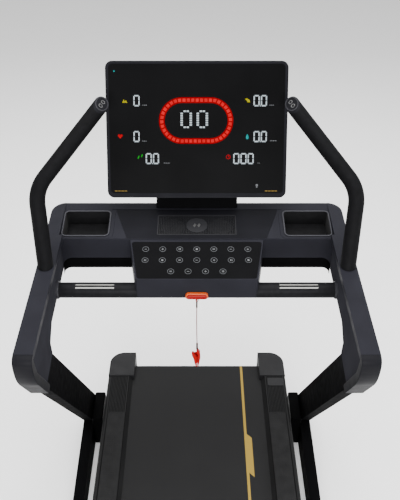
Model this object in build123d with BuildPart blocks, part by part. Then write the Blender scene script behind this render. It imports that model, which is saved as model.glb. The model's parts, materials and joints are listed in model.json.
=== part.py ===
"""Motorised incline treadmill, modelled as separate parts in one frame.

Millimetres. +X is the user's right, +Y the way the user faces, +Z up. The origin
is on the floor, in the middle of the machine's footprint.
"""

import os
from math import atan2, cos, degrees, hypot, pi, radians, sin, tan

from build123d import *

os.makedirs("parts", exist_ok=True)

# ---------------------------------------------------------------- driving sizes
front_end = 850
rear_end = -850
half_width = 490
floor_gap = 15

# running deck
belt_top = 300
belt_half_width = 280
belt_thickness = 2
roller_radius = 30.7
roller_gap = 0.3
front_roller_y = 781
rear_roller_y = -800
roller_shaft_radius = 8.5
running_fit = 0.05
frame_inner = 325
frame_outer = 365
frame_bottom = 205
frame_top = 285
rail_top = 325
rail_inner = 275
rail_outer = 377
rail_wall = 4
cap_top = 330
cap_inner = 268
cap_length = 137
rear_cap_length = 150
deck_pivot_y = -700
deck_pivot_z = 110
pivot_pin_radius = 8

# uprights
post_inner = 446
post_outer = 488
post_lean = radians(34.6)
post_depth = 117
post_front_y = 730
post_front_z = 195
beam_inner = 446
arm_inner = 436
panel_inner = 446
panel_outer = 452

# console
console_front_y = 470
console_front_z = 1223
console_rear_y = 637
console_rear_z = 1248
console_pitch = atan2(console_rear_z - console_front_z, console_rear_y - console_front_y)
fascia_bottom = 1147
shell_bottom = 1106
console_wall = 3
tray_inner = 292
tray_outer = 440
tray_depth = 58
tray_rim = 3
grille_half_width = 131

# keypad
pad_front_y = 311
pad_front_z = 1184
pad_rear_y = 464
pad_rear_z = 1221
pad_pitch = atan2(pad_rear_z - pad_front_z, pad_rear_y - pad_front_y)
pad_length = hypot(pad_rear_z - pad_front_z, pad_rear_y - pad_front_y)
key_pitch = 54.75
key_radius = 10.6
key_ring_width = 1.3

# crossbar
bar_y = 338
bar_z = 1118
bar_radius = 25
bar_wall = 2.5
bar_half_length = 446

# display
display_width = 581
display_height = 434
display_thickness = 30
display_tilt = radians(26)
display_centre_y = 655
display_centre_z = 1520
hinge_up = -30
hinge_back = 52
hinge_pin_radius = 6

# handlebars
handlebar_radius = 24
handlebar_tube_radius = 15.7
handlebar_bore_radius = 16
handlebar_route = [(463, 308, 1237), (482, 405, 1453), (290, 608, 1636)]
handlebar_bend_radius = 110
handlebar_end_normal = (-0.61, -0.216, 0.762)
handlebar_cap_thickness = 5

# lift actuator, between its pins when the deck is level
lift_base_y = 200
lift_base_z = 60
lift_deck_y = 500
lift_deck_z = 165
lift_angle = atan2(lift_deck_z - lift_base_z, lift_deck_y - lift_base_y)
lift_length = hypot(lift_deck_z - lift_base_z, lift_deck_y - lift_base_y)
lift_pin_radius = 7
lift_eye_clearance = 7.5

# motor drive
motor_y = 640
motor_z = 150
motor_radius = 52
motor_pulley_radius = 18
roller_pulley_radius = 36
drive_belt_inner_x = 295
drive_belt_width = 20

# safety key and its cord
key_y = 303
cord_radius = 1.5
cord_bend_radius = 1500
cord_top = 1075
cord_route = [(0, 303, 1075), (-1.2, 303, 1000), (0.8, 303, 916)]

roller_z = belt_top - belt_thickness - roller_gap - roller_radius
console_plane = Plane(
    origin=(0, console_front_y, console_front_z),
    x_dir=(1, 0, 0),
    z_dir=(0, -sin(console_pitch), cos(console_pitch)),
)
pad_plane = Plane(
    origin=(0, pad_front_y, pad_front_z),
    x_dir=(1, 0, 0),
    z_dir=(0, -sin(pad_pitch), cos(pad_pitch)),
)
display_plane = Plane(
    origin=(0, display_centre_y, display_centre_z),
    x_dir=(1, 0, 0),
    z_dir=(0, -cos(display_tilt), sin(display_tilt)),
)
lift_plane = Plane(
    origin=(0, lift_base_y, lift_base_z),
    x_dir=(1, 0, 0),
    z_dir=(0, cos(lift_angle), sin(lift_angle)),
)


# ---------------------------------------------------------------- helpers
def write_piece(piece, label):
    """Label a finished piece and write its STEP file."""
    piece.part.label = label
    export_step(piece.part, f"parts/{label}.step")


def mirrored(piece):
    """The same piece on the other side of the machine's middle plane."""
    with BuildPart() as other:
        add(mirror(piece.part, about=Plane.YZ, mode=Mode.PRIVATE))
    return other


def both_sides(piece):
    """One node holding a piece and its mirror image as two solids."""
    with BuildPart() as pair:
        add(piece.part)
        add(mirror(piece.part, about=Plane.YZ, mode=Mode.PRIVATE))
    return pair


def write_pair(piece, label):
    """Write a right-hand piece and its left-hand mirror image as two nodes."""
    write_piece(piece, f"{label}_right")
    write_piece(mirrored(piece), f"{label}_left")


def outline(points, corner=0):
    """A closed face through points, with every corner rounded when asked."""
    with BuildSketch() as face:
        with BuildLine():
            Polyline(*points, close=True)
        make_face()
        if corner:
            fillet(face.vertices(), radius=corner)
    return face.sketch


def side_block(points, near, far, corner=0):
    """A side view in Y and Z, drawn out between two distances from the middle."""
    with BuildPart() as block:
        with BuildSketch(Plane.YZ.offset(near)):
            add(outline(points, corner))
        extrude(amount=far - near)
    return block


# ---------------------------------------------------------------- base frame
beam_side = [
    (-715, floor_gap),
    (775, floor_gap),
    (775, 112),
    (745, 150),
    (640, 139),
    (607, 136),
    (0, 84),
    (-700, 58),
    (-715, 46),
]
leveler_y = -660
leveler_x = 468
leveler_stem_radius = 6
with BuildPart() as base_beam:
    add(side_block(beam_side, beam_inner, half_width).part)
    fillet(base_beam.faces().sort_by(Axis.X)[-1].edges(), radius=6)
    with BuildSketch(Plane.XY.offset(floor_gap)):
        with Locations((leveler_x, leveler_y)):
            Circle(leveler_stem_radius + running_fit)
    extrude(amount=34, mode=Mode.SUBTRACT)
write_pair(base_beam, "base_beam")

wheel_y = 712
wheel_z = 42
wheel_near = 376
wheel_far = 398
wheel_radius = 32
wheel_bore_radius = 6.05
wheel_stub_radius = 6
block_inner = 401
block_y = 665
block_length = 150
block_bottom = 35
block_gap = 0.2
with BuildPart() as foot_block:
    with BuildSketch(Plane.XY.offset(block_bottom)):
        with Locations(((block_inner + beam_inner - block_gap) / 2, block_y)):
            RectangleRounded(beam_inner - block_inner - block_gap, block_length, 8)
    extrude(amount=post_front_z - block_bottom)
    fillet(foot_block.faces().sort_by(Axis.Z)[-1].edges(), radius=4)
    with BuildSketch(Plane.YZ.offset(block_inner - 28)):
        with Locations((wheel_y, wheel_z)):
            Circle(wheel_stub_radius)
    extrude(amount=29)
write_piece(both_sides(foot_block), "foot_blocks")

front_foot_x = (block_inner + beam_inner) / 2
front_foot_y = 640
with BuildPart() as front_foot:
    with BuildSketch(Plane.XY):
        with Locations((front_foot_x, front_foot_y)):
            Circle(19)
    extrude(amount=block_bottom, taper=6)
write_piece(both_sides(front_foot), "front_feet")

ear_bottom = 70
pivot_ears = ((318, 328), (362, 372))
lift_ear_near = 36
lift_ear_far = 46
with BuildPart() as base_cross_tubes:
    for centre_y, low, high, half in (
        (650, 45, 85, block_inner),
        (lift_base_y - 62, 30, 66, beam_inner),
        (deck_pivot_y, 30, ear_bottom, beam_inner),
    ):
        with BuildSketch(Plane.YZ.offset(-half)):
            with Locations((centre_y, (low + high) / 2)):
                RectangleRounded(40, high - low, 4)
        extrude(amount=2 * half)
    for side in (-1, 1):
        for near, far in pivot_ears:
            with BuildSketch(Plane.YZ.offset(min(side * near, side * far))):
                with Locations((deck_pivot_y, (ear_bottom + deck_pivot_z) / 2)):
                    Rectangle(36, deck_pivot_z - ear_bottom)
                with Locations((deck_pivot_y, deck_pivot_z)):
                    Circle(18)
                    Circle(pivot_pin_radius, mode=Mode.SUBTRACT)
            extrude(amount=far - near)
        with BuildSketch(Plane.YZ.offset(min(side * lift_ear_near, side * lift_ear_far))):
            with BuildLine():
                Polyline(
                    (lift_base_y - 60, 34),
                    (lift_base_y, 42),
                    (lift_base_y, 78),
                    (lift_base_y - 60, 64),
                    close=True,
                )
            make_face()
            with Locations((lift_base_y, lift_base_z)):
                Circle(18)
                Circle(pivot_pin_radius, mode=Mode.SUBTRACT)
        extrude(amount=lift_ear_far - lift_ear_near)
write_piece(base_cross_tubes, "base_cross_tubes")

with BuildPart() as hinge_pins:
    for near, far in ((-375, -315), (315, 375)):
        with BuildSketch(Plane.YZ.offset(near)):
            with Locations((deck_pivot_y, deck_pivot_z)):
                Circle(pivot_pin_radius)
        extrude(amount=far - near)
    with BuildSketch(Plane.YZ.offset(-50)):
        with Locations((lift_base_y, lift_base_z)):
            Circle(pivot_pin_radius)
    extrude(amount=100)
write_piece(hinge_pins, "hinge_pins")

for label, side in (("left", -1), ("right", 1)):
    with BuildPart() as leveling_foot:
        with BuildSketch(Plane.XY):
            with Locations((side * leveler_x, leveler_y)):
                Circle(20)
        extrude(amount=floor_gap - 0.3)
        fillet(leveling_foot.edges().group_by(Axis.Z)[0], radius=2)
        with BuildSketch(Plane.XY.offset(floor_gap - 0.3)):
            with Locations((side * leveler_x, leveler_y)):
                Circle(leveler_stem_radius)
        extrude(amount=32)
    write_piece(leveling_foot, f"leveling_foot_{label}")

    with BuildPart() as transport_wheel:
        with BuildSketch(Plane.YZ.offset(min(side * wheel_near, side * wheel_far))):
            with Locations((wheel_y, wheel_z)):
                Circle(wheel_radius)
                Circle(wheel_bore_radius, mode=Mode.SUBTRACT)
        extrude(amount=wheel_far - wheel_near)
        rims = transport_wheel.edges().filter_by(GeomType.CIRCLE).sort_by(SortBy.RADIUS)[-2:]
        fillet(rims, radius=4)
    write_piece(transport_wheel, f"transport_wheel_{label}")

inlet_x = -423
inlet_z = 90
inlet_rear_y = 740
inlet_plate_y = 744
with BuildPart() as power_inlet:
    with BuildSketch(Plane.XZ.offset(-inlet_rear_y)):
        with Locations((inlet_x, inlet_z)):
            RectangleRounded(36, 30, 4)
    extrude(amount=inlet_rear_y - inlet_plate_y)
    with BuildSketch(Plane.XZ.offset(-inlet_plate_y)):
        with Locations((inlet_x, inlet_z)):
            RectangleRounded(26, 19, 4)
            RectangleRounded(22, 15, 3, mode=Mode.SUBTRACT)
    extrude(amount=-7)
write_piece(power_inlet, "power_inlet")

# ---------------------------------------------------------------- posts
post_width_y = post_depth / cos(post_lean)


def post_y(front_edge, height):
    """Where the post's front or rear edge stands at a height."""
    front = post_front_y - tan(post_lean) * (height - post_front_z)
    return front if front_edge else front - post_width_y


post_base_rear_y = 626
post_side = [
    (post_base_rear_y, 139),
    (post_front_y + 7, 150.5),
    (post_front_y, post_front_z),
    (post_y(True, 1006), 1006),
    (post_y(False, 989), 989),
    (post_y(False, 200), 200),
]
spigot_side = [
    (post_y(False, 995) + 32, 975),
    (post_y(True, 995) - 22, 975),
    (90, 1140),
    (458, 1148),
    (458, 1200),
    (-20, 1192),
    (-20, 1150),
]
with BuildPart() as post:
    add(side_block(post_side, post_inner, post_outer).part)
    fillet(post.edges().filter_by(Axis.X, reverse=True).group_by(SortBy.LENGTH)[-1], radius=8)
    add(side_block(spigot_side, 457, 482).part)
write_pair(post, "post")

# ---------------------------------------------------------------- handlebar route
route_start = Vector(*handlebar_route[0])
route_bend = Vector(*handlebar_route[1])
route_finish = Vector(*handlebar_route[2])
foot_direction = (route_bend - route_start).normalized()
end_direction = (route_finish - route_bend).normalized()
long_route = [route_start - foot_direction * 40, route_bend, route_finish + end_direction * 60]
end_plane = Plane(origin=route_finish, z_dir=handlebar_end_normal)
cap_plane = end_plane.offset(-handlebar_cap_thickness)
grip_foot_z = 1239
tube_foot_z = 1232


def handlebar_sweep(radius, foot_z):
    """A round bar along the handlebar's route, cut level at the foot."""
    with BuildPart() as bar:
        with BuildLine():
            path = FilletPolyline(*long_route, radius=handlebar_bend_radius)
        with BuildSketch(Plane(origin=path @ 0, z_dir=path % 0)):
            Circle(radius)
        sweep()
        split(bisect_by=Plane.XY.offset(foot_z), keep=Keep.TOP)
    return bar


# ---------------------------------------------------------------- arms
cover_front_y = console_front_y
knee_rear_y = -86
knee_sweep = 175
knee_corner = 23


def arm_outline():
    """Side view of a whole arm: top rail, rounded knee and the web down to the post."""
    with BuildSketch() as face:
        with BuildLine():
            Polyline(
                (cover_front_y, 1241),
                (knee_rear_y, 1230),
                (knee_rear_y, 1150),
                (20, 988),
                (166, 1008),
                (162, 1056),
                (217, 1094),
                (cover_front_y, 1102),
                close=True,
            )
        make_face()
        fillet(face.vertices().sort_by(Axis.X)[:2].sort_by(Axis.Y)[0], radius=knee_sweep)
        fillet(face.vertices().sort_by(Axis.X)[:2].sort_by(Axis.Y)[-1], radius=knee_corner)
    return face.sketch


knee_region = [(-62, 1300), (-62, 1200), (-50, 1150), (45, 1000), (45, 900), (-200, 900), (-200, 1300)]
rail_region = [(600, 1300), (600, 1222), (-62, 1211), (-62, 1300)]
hollow_region = [
    (480, 1233),
    (-56, 1223),
    (-56, 1196),
    (-44, 1154),
    (51, 1003),
    (48, 960),
    (180, 960),
    (157, 1056),
    (213, 1100),
    (480, 1109),
]

with BuildPart() as knee_cap:
    with BuildSketch(Plane.YZ.offset(arm_inner)):
        add(arm_outline())
        add(outline(knee_region), mode=Mode.INTERSECT)
    extrude(amount=half_width - arm_inner)
write_pair(knee_cap, "knee_cap")

with BuildPart() as arm_cover:
    with BuildSketch(Plane.YZ.offset(panel_outer)):
        add(arm_outline())
        add(outline(knee_region), mode=Mode.SUBTRACT)
    extrude(amount=half_width - panel_outer)
    with BuildSketch(Plane.YZ.offset(arm_inner)):
        add(arm_outline())
        add(outline(rail_region), mode=Mode.INTERSECT)
    extrude(amount=panel_outer - arm_inner)
    with BuildSketch(Plane.YZ.offset(panel_outer)):
        add(outline(hollow_region))
    extrude(amount=half_width - 4 - panel_outer, mode=Mode.SUBTRACT)
    add(handlebar_sweep(handlebar_bore_radius, tube_foot_z).part, mode=Mode.SUBTRACT)
write_pair(arm_cover, "arm_cover")

with BuildPart() as arm_panel:
    with BuildSketch(Plane.YZ.offset(panel_inner)):
        add(arm_outline())
        add(outline(knee_region), mode=Mode.SUBTRACT)
        add(outline(rail_region), mode=Mode.SUBTRACT)
    extrude(amount=panel_outer - panel_inner)
write_piece(both_sides(arm_panel), "arm_panels")

# ---------------------------------------------------------------- handlebars
with BuildPart() as handlebar_grip:
    add(handlebar_sweep(handlebar_radius, grip_foot_z).part)
    add(handlebar_sweep(handlebar_bore_radius, tube_foot_z - 5).part, mode=Mode.SUBTRACT)
    split(bisect_by=cap_plane, keep=Keep.BOTTOM)
write_pair(handlebar_grip, "handlebar_grip")

with BuildPart() as handlebar_tube:
    add(handlebar_sweep(handlebar_tube_radius, tube_foot_z).part)
    split(bisect_by=cap_plane.offset(-3), keep=Keep.BOTTOM)
write_piece(both_sides(handlebar_tube), "handlebar_tubes")

with BuildPart() as handlebar_cap:
    add(handlebar_sweep(handlebar_radius, grip_foot_z).part)
    split(bisect_by=cap_plane, keep=Keep.TOP)
    split(bisect_by=end_plane, keep=Keep.BOTTOM)
    fillet(handlebar_cap.edges().sort_by(Axis(route_finish, end_plane.z_dir))[-1], radius=2)
write_piece(both_sides(handlebar_cap), "handlebar_caps")

# ---------------------------------------------------------------- crossbar
with BuildPart() as crossbar:
    with BuildSketch(Plane.YZ.offset(-bar_half_length)):
        with Locations((bar_y, bar_z)):
            Circle(bar_radius)
            Circle(bar_radius - bar_wall, mode=Mode.SUBTRACT)
    extrude(amount=2 * bar_half_length)
write_piece(crossbar, "crossbar")

flange_radius = 29
flange_width = 8
with BuildPart() as flange:
    with BuildSketch(Plane.YZ.offset(bar_half_length - flange_width)):
        with Locations((bar_y, bar_z)):
            Circle(flange_radius)
            Circle(bar_radius + 0.2, mode=Mode.SUBTRACT)
    extrude(amount=flange_width)
    chamfer(flange.edges().filter_by(GeomType.CIRCLE).sort_by(Axis.X)[:2].sort_by(SortBy.RADIUS)[-1], 3)
write_piece(both_sides(flange), "crossbar_flanges")

strip_near = 262
strip_far = 384
strip_width = 4.6
strip_angles = (80, 55)
strip_height = 0.8
with BuildPart() as pulse_strip:
    with BuildSketch(Plane.YZ.offset(strip_near)):
        with Locations((bar_y, bar_z)):
            for angle in strip_angles:
                strip_y = -cos(radians(angle)) * bar_radius
                strip_z = sin(radians(angle)) * bar_radius
                with Locations(Pos(strip_y, strip_z) * Rot(0, 0, 90 - angle)):
                    Rectangle(strip_width, 6)
            Circle(bar_radius + 0.05, mode=Mode.SUBTRACT)
        with Locations((bar_y, bar_z)):
            Circle(bar_radius + strip_height, mode=Mode.INTERSECT)
    extrude(amount=strip_far - strip_near)
write_piece(both_sides(pulse_strip), "pulse_strips")

# ---------------------------------------------------------------- console
rear_corner = 50
console_back_y = 645
arm_top_z = 1241
rise = tan(console_pitch)
gusset_corner = 36
lip_corner = 30
tray_front = 17
tray_rear = 130
tray_gap = 2.8
tray_centre = ((tray_inner + tray_outer) / 2, (tray_front + tray_rear) / 2)
tray_width = tray_outer - tray_inner
tray_length = tray_rear - tray_front
tray_corner = 12.3
grille_front = 19
grille_rear = 116
grille_corner = 6
skin_thickness = 4


def console_z(y):
    """Height of the sloping console top at a distance forward."""
    return console_front_z + (y - console_front_y) * rise


def corner_fill(side, top, corner):
    """The concave corner left between a level edge and a side wall, in X and Z."""
    with BuildSketch() as fill:
        with Locations((side * (panel_inner - corner / 2), top - corner / 2)):
            Rectangle(corner, corner)
        with Locations((side * (panel_inner - corner), top - corner)):
            Circle(corner, mode=Mode.SUBTRACT)
    return fill.sketch


with BuildPart() as console_cavity:
    with BuildSketch(Plane.YZ.offset(-half_width + console_wall)):
        add(
            outline(
                [
                    (console_front_y + console_wall, shell_bottom - 60),
                    (console_front_y + console_wall, console_z(console_front_y) - skin_thickness),
                    (console_back_y - console_wall, console_z(console_back_y) - skin_thickness),
                    (console_back_y - console_wall, shell_bottom - 60),
                ]
            )
        )
    extrude(amount=2 * (half_width - console_wall))
    fillet(
        console_cavity.edges().filter_by(Axis.Z).group_by(Axis.Y)[-1],
        radius=rear_corner - console_wall,
    )

with BuildPart() as console_top:
    with BuildSketch(Plane.YZ.offset(-panel_inner)):
        add(
            outline(
                [
                    (console_front_y, fascia_bottom),
                    (console_front_y, console_front_z),
                    (console_back_y, console_z(console_back_y)),
                    (console_back_y, fascia_bottom),
                ]
            )
        )
    extrude(amount=2 * panel_inner)
    for near in (-half_width, panel_inner):
        with BuildSketch(Plane.YZ.offset(near)):
            add(
                outline(
                    [
                        (console_front_y, shell_bottom),
                        (console_front_y, arm_top_z),
                        (console_back_y, console_z(console_back_y) + 1),
                        (console_back_y, shell_bottom),
                    ]
                )
            )
        extrude(amount=half_width - panel_inner)
    fillet(
        console_top.edges().filter_by(Axis.Z).group_by(Axis.Y)[-1].group_by(SortBy.LENGTH)[-1],
        radius=rear_corner,
    )
    add(console_cavity.part, mode=Mode.SUBTRACT)
    with BuildSketch(console_plane.offset(20)):
        for side in (-1, 1):
            with Locations((side * tray_centre[0], tray_centre[1])):
                RectangleRounded(tray_width + 2 * tray_gap, tray_length + 2 * tray_gap, tray_corner)
        with Locations((0, (grille_front + grille_rear) / 2)):
            RectangleRounded(2 * grille_half_width, grille_rear - grille_front, grille_corner)
    extrude(amount=-40, mode=Mode.SUBTRACT)
    with BuildSketch(Plane.XZ.offset(-console_front_y)):
        for side in (-1, 1):
            add(corner_fill(side, fascia_bottom, gusset_corner))
    extrude(amount=console_front_y - console_back_y + rear_corner)
write_piece(console_top, "console_top")

with BuildPart() as console_bottom:
    with BuildSketch(Plane.XZ.offset(-console_front_y)):
        with Locations((0, (shell_bottom + fascia_bottom) / 2)):
            Rectangle(2 * panel_inner, fascia_bottom - shell_bottom)
        for side in (-1, 1):
            add(corner_fill(side, shell_bottom, lip_corner))
    extrude(amount=console_front_y - console_back_y)
    with BuildSketch(Plane.XY.offset(shell_bottom + console_wall)):
        with Locations((0, (console_front_y + console_back_y) / 2)):
            Rectangle(2 * (panel_inner - console_wall), console_back_y - console_front_y - 2 * console_wall)
    extrude(amount=fascia_bottom, mode=Mode.SUBTRACT)
    with BuildSketch(Plane.XZ.offset(-console_front_y)):
        for side in (-1, 1):
            add(corner_fill(side, fascia_bottom, gusset_corner))
    extrude(amount=console_front_y - console_back_y + rear_corner, mode=Mode.SUBTRACT)
write_piece(console_bottom, "console_bottom")

tray_wall = 2.5
with BuildPart() as phone_tray:
    with BuildSketch(console_plane.offset(0.3)):
        with Locations(tray_centre):
            RectangleRounded(tray_width + 2 * tray_rim + 5, tray_length + 2 * tray_rim + 5, 17)
    extrude(amount=2)
    with BuildSketch(console_plane.offset(0.3)):
        with Locations(tray_centre):
            RectangleRounded(tray_width + 2 * tray_wall, tray_length + 2 * tray_wall, 12)
    extrude(amount=-tray_depth)
    with BuildSketch(console_plane.offset(5)):
        with Locations(tray_centre):
            RectangleRounded(tray_width, tray_length, 11)
    extrude(amount=-(tray_depth + 2.2), mode=Mode.SUBTRACT)
write_piece(both_sides(phone_tray), "phone_trays")

with BuildPart() as speaker_grille:
    with BuildSketch(console_plane.offset(-4.5)):
        with Locations((0, (grille_front + grille_rear) / 2)):
            RectangleRounded(2 * grille_half_width - 0.6, grille_rear - grille_front - 0.6, 5.7)
    extrude(amount=2.5)
write_piece(speaker_grille, "speaker_grille")

speaker_x = 78
with BuildPart() as speakers:
    for top, radius, depth in ((-8, 38, 12), (-20, 22, 22)):
        with BuildSketch(console_plane.offset(top)):
            for side in (-1, 1):
                with Locations((side * speaker_x, (grille_front + grille_rear) / 2)):
                    Circle(radius)
        extrude(amount=-depth)
write_piece(speakers, "speakers")

# ---------------------------------------------------------------- keypad
housing_front_half = 192
housing_rear_half = 217
pad_wall = 4
lip_bottom = 1111
with BuildPart() as keypad_housing:
    with BuildSketch(Plane.XY.offset(shell_bottom - 10)):
        add(
            outline(
                [
                    (-housing_front_half, pad_front_y),
                    (housing_front_half, pad_front_y),
                    (housing_rear_half, console_front_y),
                    (-housing_rear_half, console_front_y),
                ]
            )
        )
    extrude(amount=200)
    with BuildSketch(Plane.YZ.offset(-housing_rear_half)):
        add(
            outline(
                [
                    (pad_front_y, lip_bottom),
                    (pad_front_y, pad_front_z),
                    (pad_rear_y, pad_rear_z),
                    (console_front_y, pad_rear_z),
                    (console_front_y, shell_bottom),
                    (pad_front_y + 60, shell_bottom - 4),
                ]
            )
        )
    extrude(amount=2 * housing_rear_half, mode=Mode.INTERSECT)
    fillet(keypad_housing.edges().filter_by(Axis.Z).group_by(Axis.Y)[0], radius=10)
    with BuildSketch(Plane.XY.offset(shell_bottom - 10)):
        add(
            outline(
                [
                    (-housing_front_half + pad_wall + 6, pad_front_y + pad_wall),
                    (housing_front_half - pad_wall - 6, pad_front_y + pad_wall),
                    (housing_rear_half - pad_wall, console_front_y + 1),
                    (-housing_rear_half + pad_wall, console_front_y + 1),
                ]
            )
        )
    extrude(amount=pad_front_z - shell_bottom, mode=Mode.SUBTRACT)
    with BuildSketch(Plane.YZ.offset(-housing_rear_half - 10)):
        with Locations((bar_y, bar_z)):
            Circle(bar_radius + 0.3)
    extrude(amount=2 * housing_rear_half + 20, mode=Mode.SUBTRACT)
    with BuildSketch(pad_plane.offset(-2.5)):
        add(
            outline([(-187, 2.5), (187, 2.5), (211.5, 152.5), (-211.5, 152.5)], corner=8)
        )
    extrude(amount=10, mode=Mode.SUBTRACT)
write_piece(keypad_housing, "keypad_housing")

with BuildPart() as touch_panel:
    with BuildSketch(pad_plane.offset(-2.5)):
        add(
            outline([(-186.5, 3), (186.5, 3), (211, 152), (-211, 152)], corner=7.7)
        )
    extrude(amount=2.5)
write_piece(touch_panel, "touch_panel")

key_rows = ((121.6, 7), (76.4, 7), (31.2, 4))
with BuildPart() as key_rings:
    for row_up, keys in key_rows:
        with BuildSketch(pad_plane):
            for column in range(keys):
                with Locations(((column - (keys - 1) / 2) * key_pitch, row_up)):
                    Circle(key_radius)
                    Circle(key_radius - key_ring_width, mode=Mode.SUBTRACT)
        extrude(amount=0.5)
write_piece(key_rings, "key_rings")

# ---------------------------------------------------------------- display
hinge_point = display_plane.from_local_coords(Vector(0, hinge_up, -hinge_back))
hinge_y = hinge_point.Y
hinge_z = hinge_point.Z
neck_half = 136.5
neck_front_y = 619
neck_rear_y = 636
knuckle_half = 62
shoulder_z = 1425
with BuildPart() as display_neck:
    with BuildSketch(Plane.YZ.offset(-neck_half)):
        with BuildLine():
            Polyline(
                (neck_front_y, console_z(neck_front_y)),
                (neck_rear_y, console_z(neck_rear_y)),
                (hinge_y + 8, hinge_z),
                (hinge_y - 8, hinge_z),
                close=True,
            )
        make_face()
    extrude(amount=2 * neck_half)
    for near in (-neck_half, knuckle_half):
        with BuildSketch(Plane.YZ.offset(near)):
            with Locations((hinge_y, shoulder_z + 100)):
                Rectangle(200, 200)
        extrude(amount=neck_half - knuckle_half, mode=Mode.SUBTRACT)
    with BuildSketch(Plane.YZ.offset(-knuckle_half)):
        with Locations((hinge_y, hinge_z)):
            Circle(13)
    extrude(amount=2 * knuckle_half)
    with BuildSketch(Plane.YZ.offset(-92)):
        with Locations((hinge_y, hinge_z)):
            Circle(hinge_pin_radius)
    extrude(amount=184)
write_piece(display_neck, "display_neck")

lug_y = hinge_y - 16 * cos(display_tilt)
lug_z = hinge_z + 16 * sin(display_tilt)
glass_inset = 4
glass_thickness = 2.5
with BuildPart() as display_housing:
    with BuildSketch(display_plane):
        RectangleRounded(display_width, display_height, 22)
    extrude(amount=-display_thickness)
    fillet(
        display_housing.faces().sort_by(Axis(display_plane.origin, display_plane.z_dir))[0].edges(),
        radius=9,
    )
    with BuildSketch(display_plane.offset(-glass_thickness)):
        RectangleRounded(display_width - 2 * glass_inset, display_height - 2 * glass_inset, 18.5)
    extrude(amount=glass_thickness + 1, mode=Mode.SUBTRACT)
    for side in (-1, 1):
        with BuildSketch(Plane.YZ.offset(min(side * 66, side * 88))):
            with Locations(Pos(lug_y, lug_z) * Rot(0, 0, -degrees(display_tilt))):
                SlotOverall(62, 30)
        extrude(amount=22)
    with BuildSketch(Plane.YZ.offset(-100)):
        with Locations((hinge_y, hinge_z)):
            Circle(hinge_pin_radius + running_fit)
    extrude(amount=200, mode=Mode.SUBTRACT)
write_piece(display_housing, "display_housing")

with BuildPart() as display_glass:
    with BuildSketch(display_plane.offset(-glass_thickness)):
        RectangleRounded(
            display_width - 2 * glass_inset - 0.6, display_height - 2 * glass_inset - 0.6, 18.2
        )
    extrude(amount=glass_thickness)
write_piece(display_glass, "display_glass")

# ---------------------------------------------------------------- safety key
key_front_y = 296
key_centre_z = 1121
with BuildPart() as safety_key:
    with BuildSketch(Plane.XZ.offset(-(pad_front_y - 0.3))):
        with Locations((0, key_centre_z)):
            SlotOverall(71, 21)
    extrude(amount=pad_front_y - 0.3 - 303)
    with BuildSketch(Plane.XZ.offset(-303)):
        with Locations((0, key_centre_z)):
            SlotOverall(63, 14)
    extrude(amount=303 - key_front_y)
    fillet(safety_key.faces().sort_by(Axis.Y)[0].edges(), radius=2)
    with BuildSketch(Plane.XY.offset(cord_top + 27)):
        with Locations((0, key_y)):
            Circle(2.4)
    extrude(amount=key_centre_z - 8 - cord_top - 27)
write_piece(safety_key, "safety_key")

with BuildPart() as lanyard_cord:
    with BuildLine():
        cord_path = FilletPolyline(*cord_route, radius=cord_bend_radius)
    with BuildSketch(Plane(origin=cord_path @ 0, z_dir=cord_path % 0)):
        Circle(cord_radius)
    sweep()
write_piece(lanyard_cord, "lanyard_cord")
tube_volume = pi * cord_radius**2 * cord_path.length
print("cord length", round(cord_path.length, 1), "bend radius", cord_bend_radius)
print("cord volume over section times length", round(lanyard_cord.part.volume / tube_volume, 4))

clip_x = cord_route[-1][0]
clip_top = 890
crimp_length = 27
with BuildPart() as cord_fittings:
    with BuildSketch(Plane.XY.offset(cord_top)):
        with Locations((0, key_y)):
            Circle(2.8)
    extrude(amount=crimp_length)
    with BuildSketch(Plane.XY.offset(clip_top)):
        with Locations((clip_x, key_y)):
            Circle(3.2)
    extrude(amount=cord_route[-1][2] - clip_top)
write_piece(cord_fittings, "cord_fittings")

clip_pivot_x = clip_x - 1
clip_pivot_z = 853
clip_pin_radius = 1.6
with BuildPart() as clip_body:
    with BuildSketch(Plane.XZ.offset(-key_y - 5)):
        with BuildLine():
            Polyline(
                (clip_x - 2.6, clip_top),
                (clip_x + 2.6, clip_top),
                (clip_x + 10, 880),
                (clip_x + 11.5, 855),
                (clip_x + 7.5, 828),
                (clip_x + 3.6, 812),
                (clip_x + 0.6, 815),
                (clip_x + 1.2, 835),
                (clip_x + 2.4, 845),
                (clip_x + 2.4, 864),
                close=True,
            )
        make_face()
    extrude(amount=10)
    with BuildSketch(Plane.XZ.offset(-key_y - 5)):
        with Locations((clip_pivot_x, clip_pivot_z)):
            Circle(clip_pin_radius)
        with Locations((clip_pivot_x + 3, clip_pivot_z)):
            Rectangle(6, 2.4)
    extrude(amount=1.6)
    with BuildSketch(Plane.XZ.offset(-key_y - 5)):
        with Locations((clip_pivot_x, clip_pivot_z)):
            Circle(clip_pin_radius)
    extrude(amount=9)
write_piece(clip_body, "clip_body")

with BuildPart() as clip_jaw:
    with BuildSketch(Plane.XZ.offset(-key_y - 3)):
        with BuildLine():
            Polyline(
                (clip_x - 18, 876),
                (clip_x - 12, 878),
                (clip_x - 6, 863),
                (clip_x - 1.2, 857.5),
                (clip_x + 0.2, 850),
                (clip_x - 0.2, 835),
                (clip_x - 0.6, 815),
                (clip_x - 3, 809),
                (clip_x - 8.5, 828),
                (clip_x - 12, 848),
                (clip_x - 17, 862),
                close=True,
            )
        make_face()
        with Locations((clip_pivot_x, clip_pivot_z)):
            Circle(2.9)
            Circle(clip_pin_radius + running_fit, mode=Mode.SUBTRACT)
    extrude(amount=7)
write_piece(clip_jaw, "clip_jaw")

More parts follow.
